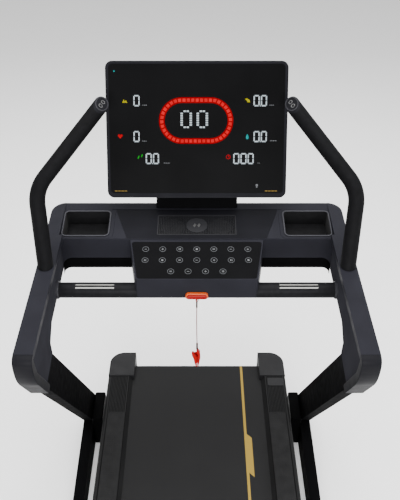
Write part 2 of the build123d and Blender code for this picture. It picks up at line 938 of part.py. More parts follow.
# ---------------------------------------------------------------- deck structure
deck_frame_rear = -825
deck_frame_front = 805
hinge_arm_inner = 331
hinge_arm_outer = 359
with BuildPart() as deck_side_frame:
    with BuildSketch(Plane.XZ.offset(-deck_frame_rear)):
        with Locations(((frame_inner + frame_outer) / 2, (frame_bottom + frame_top) / 2)):
            RectangleRounded(frame_outer - frame_inner, frame_top - frame_bottom, 5)
            RectangleRounded(
                frame_outer - frame_inner - 6, frame_top - frame_bottom - 6, 3, mode=Mode.SUBTRACT
            )
    extrude(amount=deck_frame_rear - deck_frame_front)
    add(
        side_block(
            [
                (deck_pivot_y - 62, frame_bottom + 0.5),
                (deck_pivot_y + 62, frame_bottom + 0.5),
                (deck_pivot_y + 18, deck_pivot_z),
                (deck_pivot_y - 18, deck_pivot_z),
            ],
            hinge_arm_inner,
            hinge_arm_outer,
        ).part
    )
    with BuildSketch(Plane.YZ.offset(hinge_arm_inner)):
        with Locations((deck_pivot_y, deck_pivot_z)):
            Circle(20)
    extrude(amount=hinge_arm_outer - hinge_arm_inner)
    with BuildSketch(Plane.YZ.offset(frame_inner - 5)):
        with Locations((deck_pivot_y, deck_pivot_z)):
            Circle(pivot_pin_radius + running_fit)
        with Locations((front_roller_y, roller_z), (rear_roller_y, roller_z)):
            Circle(roller_shaft_radius + running_fit)
    extrude(amount=50, mode=Mode.SUBTRACT)
write_piece(both_sides(deck_side_frame), "deck_side_frames")

board_thickness = 18
board_top = belt_top - belt_thickness - roller_gap
board_bottom = board_top - board_thickness
cushion_height = 8
cross_top = board_bottom - cushion_height
cross_bottom = 250
cross_rows = (-620, -310, 0, 310, 620)
with BuildPart() as deck_crossmembers:
    for centre_y in cross_rows:
        with BuildSketch(Plane.YZ.offset(-frame_inner)):
            with Locations((centre_y, (cross_bottom + cross_top) / 2)):
                Rectangle(26, cross_top - cross_bottom)
        extrude(amount=2 * frame_inner)
    for centre_y, length, low, high in ((lift_deck_y, 34, 197, 225), (590, 60, 206, 226)):
        with BuildSketch(Plane.YZ.offset(-frame_inner)):
            with Locations((centre_y, (low + high) / 2)):
                Rectangle(length, high - low)
        extrude(amount=2 * frame_inner)
    for near in (-30, 20):
        with BuildSketch(Plane.YZ.offset(near)):
            with Locations((lift_deck_y, (lift_deck_z + 200) / 2)):
                Rectangle(32, 200 - lift_deck_z)
            with Locations((lift_deck_y, lift_deck_z)):
                Circle(16)
        extrude(amount=10)
    with BuildSketch(Plane.YZ.offset(-30)):
        with Locations((lift_deck_y, lift_deck_z)):
            Circle(lift_pin_radius)
    extrude(amount=60)
write_piece(deck_crossmembers, "deck_crossmembers")

board_half_width = 290
with BuildPart() as deck_board:
    with BuildSketch(Plane.YZ.offset(-board_half_width)):
        with Locations((-8, (board_bottom + board_top) / 2)):
            RectangleRounded(1490, board_thickness, 5)
    extrude(amount=2 * board_half_width)
write_piece(deck_board, "deck_board")

with BuildPart() as deck_cushions:
    with BuildSketch(Plane.XY.offset(cross_top)):
        for centre_y in cross_rows:
            with Locations((-255, centre_y), (255, centre_y)):
                RectangleRounded(60, 24, 5)
    extrude(amount=cushion_height)
write_piece(deck_cushions, "deck_cushions")

belt_inner_radius = roller_radius + roller_gap


def loop_face(circles):
    """The face inside a band stretched round circles given as (y, z, radius)."""
    with BuildSketch() as loop:
        for centre_y, centre_z, radius in circles:
            with Locations((centre_y, centre_z)):
                Circle(radius)
        make_hull()
    return loop.sketch


def loop_band(circles, thickness, near, width):
    """A flat band of a thickness stretched round circles."""
    with BuildPart() as band:
        with BuildSketch(Plane.YZ.offset(near)):
            add(loop_face([(y, z, radius + thickness) for y, z, radius in circles]))
            add(loop_face(circles), mode=Mode.SUBTRACT)
        extrude(amount=width)
    return band


running_belt = loop_band(
    [(front_roller_y, roller_z, belt_inner_radius), (rear_roller_y, roller_z, belt_inner_radius)],
    belt_thickness,
    -belt_half_width,
    2 * belt_half_width,
)
write_piece(running_belt, "running_belt")

drive_belt = loop_band(
    [
        (motor_y, motor_z, motor_pulley_radius + roller_gap),
        (front_roller_y, roller_z, roller_pulley_radius + roller_gap),
    ],
    3.5,
    -drive_belt_inner_x - drive_belt_width,
    drive_belt_width,
)
write_piece(drive_belt, "drive_belt")

# ---------------------------------------------------------------- deck covers
rail_front = front_end - cap_length
rail_rear = rear_end + rear_cap_length
groove_pitch = 6
groove_width = 2.8
groove_depth = 2
groove_first = 294
grooves = 12
lip_bottom_z = 303
web_near = 342
web_far = 346
edge_bevel = 8


def rail_section():
    """Cross-section of a ribbed foot rail in X and Z, with its inner lip."""
    points = [(rail_inner, lip_bottom_z), (rail_inner + 14, rail_top)]
    for groove in range(grooves):
        near = groove_first + groove * groove_pitch
        points += [
            (near, rail_top),
            (near + 0.3, rail_top - groove_depth),
            (near + groove_width - 0.3, rail_top - groove_depth),
            (near + groove_width, rail_top),
        ]
    inner_top = rail_top - rail_wall
    points += [
        (rail_outer - edge_bevel, rail_top),
        (rail_outer, rail_top - edge_bevel),
        (rail_outer, frame_bottom + 10),
        (rail_outer - rail_wall, frame_bottom + 10),
        (rail_outer - rail_wall, rail_top - edge_bevel - 1.6),
        (rail_outer - edge_bevel - 1.6, inner_top),
        (web_far, inner_top),
        (web_far, frame_top),
        (web_near, frame_top),
        (web_near, inner_top),
        (rail_inner + 16.5, inner_top),
        (rail_inner + 4.4, lip_bottom_z),
    ]
    return outline(points)


with BuildPart() as side_rail:
    with BuildSketch(Plane.XZ.offset(-rail_rear)):
        add(rail_section())
    extrude(amount=rail_rear - rail_front)
write_piece(both_sides(side_rail), "side_rails")

pad_front = 515
pad_thickness = 2.5
with BuildPart() as foot_pad:
    with BuildSketch(Plane.XY.offset(rail_top)):
        with Locations(((290 + 359) / 2, (rail_rear + pad_front) / 2 + 5)):
            RectangleRounded(69, pad_front - rail_rear - 10, 12)
    extrude(amount=pad_thickness)
    chamfer(foot_pad.faces().sort_by(Axis.Z)[-1].edges(), 1)
write_piece(both_sides(foot_pad), "foot_pads")


def cap_block(near_y, far_y, low, high, inset, corner):
    """A block over one end of the right-hand rail, with its outer end corner rounded."""
    with BuildPart() as block:
        with BuildSketch(Plane.XY.offset(low)):
            with Locations(((cap_inner + rail_outer) / 2, (near_y + far_y) / 2)):
                Rectangle(rail_outer - cap_inner - 2 * inset, far_y - near_y - 2 * inset)
        extrude(amount=high - low)
        end_edges = block.edges().filter_by(Axis.Z).group_by(Axis.Y)[-1 if far_y > 0 else 0]
        fillet(end_edges.sort_by(Axis.X)[-1], radius=corner - inset)
    return block


def end_cap(near_y, far_y, low, corner, passage_y):
    """A hollow cap over one end of the right-hand rail, open below and to the belt."""
    rail_end = near_y if far_y > 0 else far_y
    with BuildPart() as cap:
        add(cap_block(near_y, far_y, low, cap_top, 0, corner).part)
        fillet(cap.faces().sort_by(Axis.Z)[-1].edges(), radius=cap_edge)
        add(cap_block(near_y, far_y, low, cap_top - cap_wall, cap_wall, corner).part, mode=Mode.SUBTRACT)
        with BuildSketch(Plane.XY.offset(low)):
            with Locations(((cap_inner + frame_outer) / 2, rail_end)):
                Rectangle(frame_outer - cap_inner + 2 * cap_wall, 4 * cap_wall)
            with Locations((cap_inner, (passage_y + rail_end) / 2)):
                Rectangle(4 * cap_wall, abs(passage_y - rail_end))
        extrude(amount=lip_bottom_z - low, mode=Mode.SUBTRACT)
    return cap


cap_wall = 3.5
cap_edge = 4
roller_passage = 28
front_cap = end_cap(rail_front, front_end, frame_bottom, 62, front_end - roller_passage)
write_pair(front_cap, "front_cap")
rear_cap = end_cap(rear_end, rail_rear, frame_bottom + 10, 30, rear_end + roller_passage / 2)
write_piece(both_sides(rear_cap), "rear_caps")

pan_bottom = 88
pan_wall = 2.5
pan_y = 646
pan_length = 196
pan_width = 2 * frame_inner - 3
with BuildPart() as belly_pan:
    with BuildSketch(Plane.XY.offset(pan_bottom)):
        with Locations((0, pan_y)):
            RectangleRounded(pan_width, pan_length, 12)
    extrude(amount=frame_bottom - 1 - pan_bottom)
    fillet(belly_pan.faces().sort_by(Axis.Z)[0].edges(), radius=8)
    with BuildSketch(Plane.XY.offset(pan_bottom + pan_wall)):
        with Locations((0, pan_y)):
            RectangleRounded(pan_width - 2 * pan_wall, pan_length - 2 * pan_wall, 9.5)
    extrude(amount=frame_bottom, mode=Mode.SUBTRACT)
    with BuildSketch(Plane.XY.offset(frame_bottom - 25)):
        with Locations((-drive_belt_inner_x - drive_belt_width / 2, pan_y + pan_length / 2)):
            Rectangle(drive_belt_width + 12, 30)
    extrude(amount=40, mode=Mode.SUBTRACT)
write_piece(belly_pan, "belly_pan")

# ---------------------------------------------------------------- drive
motor_left = -245
motor_right = -75
with BuildPart() as drive_motor:
    with BuildSketch(Plane.YZ.offset(motor_left)):
        with Locations((motor_y, motor_z)):
            Circle(motor_radius)
    extrude(amount=motor_right - motor_left)
    chamfer(drive_motor.edges().filter_by(GeomType.CIRCLE), 5)
    with BuildSketch(Plane.YZ.offset(motor_left + 25)):
        with Locations(((565 + motor_y) / 2 + 8, 203)):
            Rectangle(motor_y - 565 + 16, 6)
        with Locations((motor_y - 12, 190)):
            Rectangle(30, 26)
    extrude(amount=motor_right - motor_left - 50)
    with BuildSketch(Plane.YZ.offset(motor_left - 1)):
        with Locations((motor_y, motor_z)):
            Circle(6 + running_fit)
    extrude(amount=23, mode=Mode.SUBTRACT)
write_piece(drive_motor, "drive_motor")

with BuildPart() as motor_pulley:
    for near, far, radius in (
        (-320, -224, 6),
        (-317, -293, motor_pulley_radius),
        (-286, -264, 40),
    ):
        with BuildSketch(Plane.YZ.offset(near)):
            with Locations((motor_y, motor_z)):
                Circle(radius)
        extrude(amount=far - near)
write_piece(motor_pulley, "motor_pulley")

roller_half = 283
rollers = (("front_roller", front_roller_y, True), ("rear_roller", rear_roller_y, False))
for label, centre_y, pulley in rollers:
    with BuildPart() as roller:
        with BuildSketch(Plane.YZ.offset(-roller_half)):
            with Locations((centre_y, roller_z)):
                Circle(roller_radius)
        extrude(amount=2 * roller_half)
        with BuildSketch(Plane.YZ.offset(-frame_outer + 1)):
            with Locations((centre_y, roller_z)):
                Circle(roller_shaft_radius)
        extrude(amount=2 * frame_outer - 2)
        if pulley:
            with BuildSketch(Plane.YZ.offset(-317)):
                with Locations((centre_y, roller_z)):
                    Circle(roller_pulley_radius)
            extrude(amount=24)
    write_piece(roller, label)

controller_x = 150
controller_bottom = pan_bottom + pan_wall + 0.5
controller_height = 42
fins = 11
fin_pitch = 15
with BuildPart() as motor_controller:
    with BuildSketch(Plane.XY.offset(controller_bottom)):
        with Locations((controller_x, pan_y)):
            RectangleRounded(180, 120, 4)
    extrude(amount=controller_height)
    with BuildSketch(Plane.XY.offset(controller_bottom + controller_height)):
        with GridLocations(fin_pitch, 1, fins, 1):
            with Locations((controller_x, pan_y)):
                Rectangle(3, 100)
    extrude(amount=22)
write_piece(motor_controller, "motor_controller")

# ---------------------------------------------------------------- lift actuator
tube_end = 190
rod_start = 70
with BuildPart() as lift_motor:
    with BuildSketch(Plane.YZ.offset(-34)):
        with Locations((lift_base_y, lift_base_z)):
            Circle(17)
    extrude(amount=68)
    with BuildSketch(lift_plane):
        Rectangle(46, 30)
    extrude(amount=30)
    with BuildSketch(lift_plane.offset(24)):
        with Locations((26, 0)):
            RectangleRounded(104, 46, 8)
    extrude(amount=30)
    with BuildSketch(lift_plane.offset(50)):
        Circle(19)
    extrude(amount=tube_end - 50)
    with BuildSketch(lift_plane.offset(50)):
        with Locations((50, 0)):
            Circle(25)
    extrude(amount=110)
    with BuildSketch(lift_plane.offset(rod_start - 5)):
        Circle(13 + running_fit)
    extrude(amount=tube_end, mode=Mode.SUBTRACT)
    with BuildSketch(Plane.YZ.offset(-40)):
        with Locations((lift_base_y, lift_base_z)):
            Circle(pivot_pin_radius + running_fit)
    extrude(amount=80, mode=Mode.SUBTRACT)
write_piece(lift_motor, "lift_motor")

with BuildPart() as lift_rod:
    with BuildSketch(lift_plane.offset(rod_start)):
        Circle(13)
    extrude(amount=lift_length - rod_start - 17)
    with BuildSketch(Plane.YZ.offset(-15)):
        with Locations((lift_deck_y, lift_deck_z)):
            Circle(lift_pin_radius + lift_eye_clearance + 7.5)
    extrude(amount=30)
    with BuildSketch(Plane.YZ.offset(-20)):
        with Locations((lift_deck_y, lift_deck_z)):
            Circle(lift_pin_radius + lift_eye_clearance)
    extrude(amount=40, mode=Mode.SUBTRACT)
write_piece(lift_rod, "lift_rod")
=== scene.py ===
"""Looks of the incline treadmill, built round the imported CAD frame.

Metres, in the frame of the CAD part: +X is the user's right, +Y the way the user
faces, +Z up. Outlines are drawn in millimetres on a face and placed by its matrix.
"""

import json
import math

import bmesh
import bpy
from mathutils import Matrix, Vector


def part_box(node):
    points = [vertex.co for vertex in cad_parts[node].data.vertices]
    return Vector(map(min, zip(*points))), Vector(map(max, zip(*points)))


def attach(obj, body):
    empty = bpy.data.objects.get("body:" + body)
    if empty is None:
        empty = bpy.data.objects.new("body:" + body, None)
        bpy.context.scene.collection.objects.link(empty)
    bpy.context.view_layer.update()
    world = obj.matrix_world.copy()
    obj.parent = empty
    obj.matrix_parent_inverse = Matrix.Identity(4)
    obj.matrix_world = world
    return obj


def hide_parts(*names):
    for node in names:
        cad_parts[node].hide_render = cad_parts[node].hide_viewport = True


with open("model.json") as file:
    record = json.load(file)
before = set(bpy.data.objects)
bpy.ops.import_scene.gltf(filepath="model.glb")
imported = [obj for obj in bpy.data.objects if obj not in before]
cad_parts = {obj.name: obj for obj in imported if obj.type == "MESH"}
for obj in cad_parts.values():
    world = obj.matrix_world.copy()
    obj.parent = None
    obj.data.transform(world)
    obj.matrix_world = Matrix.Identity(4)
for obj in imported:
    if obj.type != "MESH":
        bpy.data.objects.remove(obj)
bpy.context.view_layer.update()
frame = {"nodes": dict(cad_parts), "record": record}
nodes = frame["nodes"]
MM = 0.001


# ---------------------------------------------------------------- camera, lights and floor
LENS = 51.84
LENS_SHIFT = 0.0064
CAMERA_PLACE = (0, -1.425, 2.600)
CAMERA_PITCH = 53.13


def make_camera():
    """Stands behind and above the user, as in the photograph."""
    data = bpy.data.cameras.new("camera")
    data.lens = LENS
    data.shift_x = LENS_SHIFT
    camera = bpy.data.objects.new("camera", data)
    camera.location = CAMERA_PLACE
    camera.rotation_euler = (math.radians(CAMERA_PITCH), 0, 0)
    bpy.context.scene.collection.objects.link(camera)
    bpy.context.scene.camera = camera


def area_light(name, place, target, width, depth, watts):
    """A soft rectangular light that faces a target point."""
    data = bpy.data.lights.new(name, "AREA")
    data.shape = "RECTANGLE"
    data.size = width
    data.size_y = depth
    data.energy = watts
    light = bpy.data.objects.new(name, data)
    light.location = place
    aim = Vector(target) - Vector(place)
    light.rotation_euler = aim.to_track_quat("-Z", "Y").to_euler()
    bpy.context.scene.collection.objects.link(light)


WORLD_STRENGTH = 0.5
AREA_LIGHTS = (
    ("top_light", (0, 0.3, 4.6), (0, 0.3, 0), 4.4, 4.4, 420),
    ("front_light", (0, -3.6, 2.2), (0, 0.4, 1.1), 2.6, 1.8, 240),
    ("rear_light", (0, 3.6, 2.9), (0, 0.5, 1.2), 3.6, 1.2, 75),
    ("left_light", (-3.2, -0.6, 2.6), (0, 0.2, 1.0), 1.6, 1.6, 22),
    ("right_light", (3.2, -0.6, 2.6), (0, 0.2, 1.0), 1.6, 1.6, 75),
)


def make_studio():
    """Even white surroundings and soft lights above, before, behind and at each side."""
    world = bpy.data.worlds.new("studio")
    world.use_nodes = True
    background = world.node_tree.nodes["Background"]
    background.inputs["Color"].default_value = (1, 1, 1, 1)
    background.inputs["Strength"].default_value = WORLD_STRENGTH
    bpy.context.scene.world = world
    for light in AREA_LIGHTS:
        area_light(*light)



FLOOR_REACH = 80


def make_floor():
    """A plain pale floor."""
    shape = bmesh.new()
    bmesh.ops.create_grid(shape, x_segments=4, y_segments=4, size=FLOOR_REACH)
    mesh = bpy.data.meshes.new("floor")
    shape.to_mesh(mesh)
    shape.free()
    floor = bpy.data.objects.new("floor", mesh)
    bpy.context.scene.collection.objects.link(floor)
    finish, tools = new_finish("floor_finish")
    mottle = tools.noise(3, 2)
    tools.colour(mottle, (0.86, 0.86, 0.86), (0.9, 0.9, 0.9))
    tools.set("Roughness", 0.7)
    tools.set("Emission Color", (1, 1, 1, 1))
    tools.set("Emission Strength", 0.3)
    mesh.materials.append(finish)


# ---------------------------------------------------------------- finishes
class NodeTools:
    """Adds the few kinds of node that every finish here is made from."""

    def __init__(self, tree):
        self.tree = tree
        self.shader = tree.nodes["Principled BSDF"]
        self.place = tree.nodes.new("ShaderNodeTexCoord").outputs["Object"]

    def add(self, kind, **settings):
        node = self.tree.nodes.new(kind)
        for key, value in settings.items():
            setattr(node, key, value)
        return node

    def link(self, source, target):
        self.tree.links.new(source, target)

    def set(self, socket, value):
        self.shader.inputs[socket].default_value = value

    def stretched(self, scale):
        """Object coordinates, stretched by a scale on each axis."""
        mapping = self.add("ShaderNodeMapping")
        mapping.inputs["Scale"].default_value = scale
        self.link(self.place, mapping.inputs["Vector"])
        return mapping.outputs["Vector"]

    def noise(self, scale, detail=3, place=None, roughness=0.5):
        node = self.add("ShaderNodeTexNoise")
        node.inputs["Scale"].default_value = scale
        node.inputs["Detail"].default_value = detail
        node.inputs["Roughness"].default_value = roughness
        self.link(place or self.place, node.inputs["Vector"])
        return node.outputs["Fac"]

    def cells(self, scale, place=None):
        node = self.add("ShaderNodeTexVoronoi", feature="SMOOTH_F1")
        node.inputs["Scale"].default_value = scale
        self.link(place or self.place, node.inputs["Vector"])
        return node.outputs["Distance"]

    def wave(self, scale, axis, distortion=0.0):
        node = self.add("ShaderNodeTexWave", bands_direction=axis)
        node.inputs["Scale"].default_value = scale
        node.inputs["Distortion"].default_value = distortion
        self.link(self.place, node.inputs["Vector"])
        return node.outputs["Fac"]

    def math(self, operation, first, second):
        node = self.add("ShaderNodeMath", operation=operation)
        for socket, value in zip(node.inputs, (first, second)):
            if isinstance(value, (int, float)):
                socket.default_value = value
            else:
                self.link(value, socket)
        return node.outputs[0]

    def between(self, value, low, high):
        """1 where a value lies between two limits, else 0."""
        above = self.math("GREATER_THAN", value, low)
        return self.math("MULTIPLY", above, self.math("LESS_THAN", value, high))

    def remap(self, value, low, high):
        node = self.add("ShaderNodeMapRange")
        node.inputs["From Min"].default_value = 0.3
        node.inputs["From Max"].default_value = 0.7
        node.inputs["To Min"].default_value = low
        node.inputs["To Max"].default_value = high
        self.link(value, node.inputs["Value"])
        return node.outputs["Result"]

    def blend(self, factor, first, second):
        """A colour between two others, which may be values or sockets."""
        node = self.add("ShaderNodeMix", data_type="RGBA")
        self.link(factor, node.inputs["Factor"])
        for socket, value in ((node.inputs[6], first), (node.inputs[7], second)):
            if isinstance(value, tuple):
                socket.default_value = (*value, 1)
            else:
                self.link(value, socket)
        return node.outputs[2]

    def colour(self, factor, first, second):
        mixed = self.blend(factor, first, second)
        self.link(mixed, self.shader.inputs["Base Color"])
        return mixed

    def rough(self, factor, low, high):
        self.link(self.remap(factor, low, high), self.shader.inputs["Roughness"])

    def bump(self, height, strength, depth):
        node = self.add("ShaderNodeBump")
        node.inputs["Strength"].default_value = strength
        node.inputs["Distance"].default_value = depth
        self.link(height, node.inputs["Height"])
        self.link(node.outputs["Normal"], self.shader.inputs["Normal"])


def new_finish(name):
    """An empty material and the tools that fill it."""
    finish = bpy.data.materials.new(name)
    finish.use_nodes = True
    return finish, NodeTools(finish.node_tree)


def shaded(colour, share):
    """A colour made darker or lighter by a share."""
    return tuple(min(1.0, channel * share) for channel in colour)


def moulded(name, colour, rough=(0.42, 0.55), grain=2600, bump=0.12, mottle=0.14, shine=0.12):
    """Moulded plastic: fine spark grain, soft patches of colour and of gloss."""
    finish, tools = new_finish(name)
    grains = tools.noise(grain, 2)
    patches = tools.noise(9, 4)
    darker, lighter = shaded(colour, 1 - mottle), shaded(colour, 1 + mottle)
    patchy = tools.blend(tools.remap(patches, 0, 1), darker, lighter)
    tools.colour(tools.remap(grains, 0, 0.22), patchy, shaded(colour, 1.7))
    tools.rough(tools.noise(26, 4), *rough)
    tools.bump(grains, bump, 0.0004)
    tools.set("Specular IOR Level", shine)
    return finish


def painted(name, colour, rough=(0.42, 0.55), shine=0.06):
    """Powder coat: orange peel in two sizes."""
    finish, tools = new_finish(name)
    peel = tools.cells(420)
    dust = tools.noise(1500, 2)
    height = tools.math("ADD", peel, tools.math("MULTIPLY", dust, 0.35))
    tools.colour(tools.noise(14, 4), shaded(colour, 0.8), shaded(colour, 1.3))
    tools.rough(tools.noise(40, 3), *rough)
    tools.bump(height, 0.16, 0.0005)
    tools.set("Specular IOR Level", shine)
    return finish


def rubbery(name, colour, grain=700, bump=0.35, rough=(0.7, 0.85), sheen=0.02, shine=0.12):
    """Rubber or foam: open cells, dull, with a faint sheen."""
    finish, tools = new_finish(name)
    cells = tools.cells(grain)
    dust = tools.noise(grain * 2.3, 3)
    height = tools.math("ADD", cells, tools.math("MULTIPLY", dust, 0.5))
    tools.colour(tools.remap(tools.noise(60, 5), 0, 1), shaded(colour, 0.75), shaded(colour, 1.35))
    tools.rough(tools.noise(18, 4), *rough)
    tools.bump(height, bump, 0.0006)
    tools.set("Sheen Weight", sheen)
    tools.set("Sheen Roughness", 0.5)
    tools.set("Specular IOR Level", shine)
    return finish


def metallic(name, colour, rough=(0.18, 0.32), stretch=(4, 400, 400)):
    """Metal brushed or turned along one axis."""
    finish, tools = new_finish(name)
    lines = tools.noise(3, 4, tools.stretched(stretch))
    tools.colour(tools.remap(lines, 0, 1), shaded(colour, 0.82), shaded(colour, 1.1))
    tools.rough(lines, *rough)
    tools.bump(lines, 0.06, 0.0002)
    tools.set("Metallic", 1.0)
    return finish


def glossy(name, colour, rough=(0.05, 0.12), coat=0.5, shine=0.5):
    """Polished panel with a trace of smears."""
    finish, tools = new_finish(name)
    smears = tools.noise(11, 6, tools.stretched((1, 2.2, 1)))
    tools.colour(tools.remap(tools.noise(5, 2), 0, 1), shaded(colour, 0.85), shaded(colour, 1.2))
    tools.rough(smears, *rough)
    tools.bump(tools.noise(160, 2), 0.015, 0.0003)
    tools.set("Coat Weight", coat)
    tools.set("Coat Roughness", 0.06)
    tools.set("Specular IOR Level", shine)
    return finish


def lit(name, colour, strength, spread=0.12):
    """A lit LED or printed mark that glows evenly, with slight differences."""
    finish, tools = new_finish(name)
    patches = tools.noise(90, 2)
    share = tools.remap(patches, 0, 1)
    glow = tools.blend(share, shaded(colour, 1 - spread), shaded(colour, 1 + spread))
    tools.colour(share, shaded(colour, 0.1), shaded(colour, 0.14))
    tools.link(glow, tools.shader.inputs["Emission Color"])
    tools.set("Emission Strength", strength)
    tools.set("Roughness", 0.5)
    tools.set("Specular IOR Level", 0.0)
    return finish


GOLD_LINE_X = 0.193
GOLD_LINE_HALF = 0.005
GOLD_BLOCK_WIDTH = 0.024
GOLD_BLOCK_FRONT = 0.622
GOLD_BLOCK_REAR = 0.44


def belt_finish():
    """Woven running belt, with a gold line and a gold block printed near its right edge."""
    finish, tools = new_finish("belt_weave")
    warp = tools.wave(180, "X")
    weft = tools.wave(180, "Y")
    weave = tools.math("MULTIPLY", warp, weft)
    patches = tools.noise(5, 5)
    dark = tools.blend(tools.remap(patches, 0, 1), (0.006, 0.006, 0.0062), (0.0105, 0.0105, 0.0108))
    cloth = tools.blend(weave, dark, (0.016, 0.016, 0.0165))
    axes = tools.add("ShaderNodeSeparateXYZ")
    tools.link(tools.place, axes.inputs["Vector"])
    across, along, up = axes.outputs
    line = tools.between(across, GOLD_LINE_X - GOLD_LINE_HALF, GOLD_LINE_X + GOLD_LINE_HALF)
    slanted = tools.math("ADD", along, across)
    block_side = tools.between(across, GOLD_LINE_X, GOLD_LINE_X + GOLD_BLOCK_WIDTH)
    block_end = tools.between(slanted, GOLD_BLOCK_REAR, GOLD_BLOCK_FRONT)
    block = tools.math("MULTIPLY", block_side, block_end)
    printed = tools.math("MAXIMUM", line, block)
    on_top = tools.math("GREATER_THAN", up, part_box("running_belt")[1].z - 0.05)
    printed = tools.math("MULTIPLY", printed, on_top)
    worn = tools.math("MULTIPLY", printed, tools.remap(tools.noise(700, 3), 0.8, 1.0))
    tools.colour(worn, cloth, (0.3, 0.2, 0.035))
    tools.rough(patches, 0.62, 0.78)
    tools.bump(weave, 0.35, 0.0005)
    tools.set("Specular IOR Level", 0.12)
    return finish


def pad_finish():
    """Rubber foot pad with a raised diamond pattern."""
    finish, tools = new_finish("pad_diamonds")
    turned = tools.add("ShaderNodeMapping")
    turned.inputs["Rotation"].default_value = (0, 0, math.radians(45))
    turned.inputs["Scale"].default_value = (150, 150, 150)
    tools.link(tools.place, turned.inputs["Vector"])
    checks = tools.add("ShaderNodeTexChecker")
    checks.inputs["Scale"].default_value = 1.0
    tools.link(turned.outputs["Vector"], checks.inputs["Vector"])
    dust = tools.noise(1400, 3)
    height = tools.math("ADD", checks.outputs["Fac"], tools.math("MULTIPLY", dust, 0.4))
    tools.colour(tools.remap(tools.noise(30, 4), 0, 1), (0.0085, 0.0085, 0.0088), (0.0125, 0.0125, 0.0128))
    tools.rough(dust, 0.7, 0.9)
    tools.bump(height, 0.3, 0.0006)
    tools.set("Specular IOR Level", 0.12)
    return finish


# heights of the painted shade band in the rail's grooves, below the rail top
GROOVE_SHADE_LOW = 0.0024
GROOVE_SHADE_HIGH = 0.0004


def rail_finish():
    """Rail moulding, with painted shade, near black, in the bottom of its grooves."""
    finish, tools = new_finish("rail_moulding")
    grains = tools.noise(2600, 2)
    patches = tools.noise(9, 4)
    ribs = tools.blend(tools.remap(patches, 0, 1), (0.0095, 0.0095, 0.0098), (0.012, 0.012, 0.0123))
    axes = tools.add("ShaderNodeSeparateXYZ")
    tools.link(tools.place, axes.inputs["Vector"])
    rail_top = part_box("side_rails")[1].z
    # painted shade: a near-black band low in the grooves, where shade falls
    painted_groove_shade = tools.between(axes.outputs[2], rail_top - GROOVE_SHADE_LOW, rail_top - GROOVE_SHADE_HIGH)
    tools.colour(painted_groove_shade, ribs, (0.0006, 0.0006, 0.0006))
    tools.rough(patches, 0.5, 0.65)
    tools.bump(grains, 0.12, 0.0004)
    tools.set("Specular IOR Level", 0.06)
    return finish


def wood_finish():
    """Phenolic board: dark skin with a faint grain."""
    finish, tools = new_finish("board_laminate")
    grain = tools.noise(6, 5, tools.stretched((30, 1.5, 30)))
    tools.colour(tools.remap(grain, 0, 1), (0.03, 0.022, 0.016), (0.07, 0.05, 0.034))
    tools.rough(grain, 0.4, 0.6)
    tools.bump(grain, 0.1, 0.0004)
    return finish


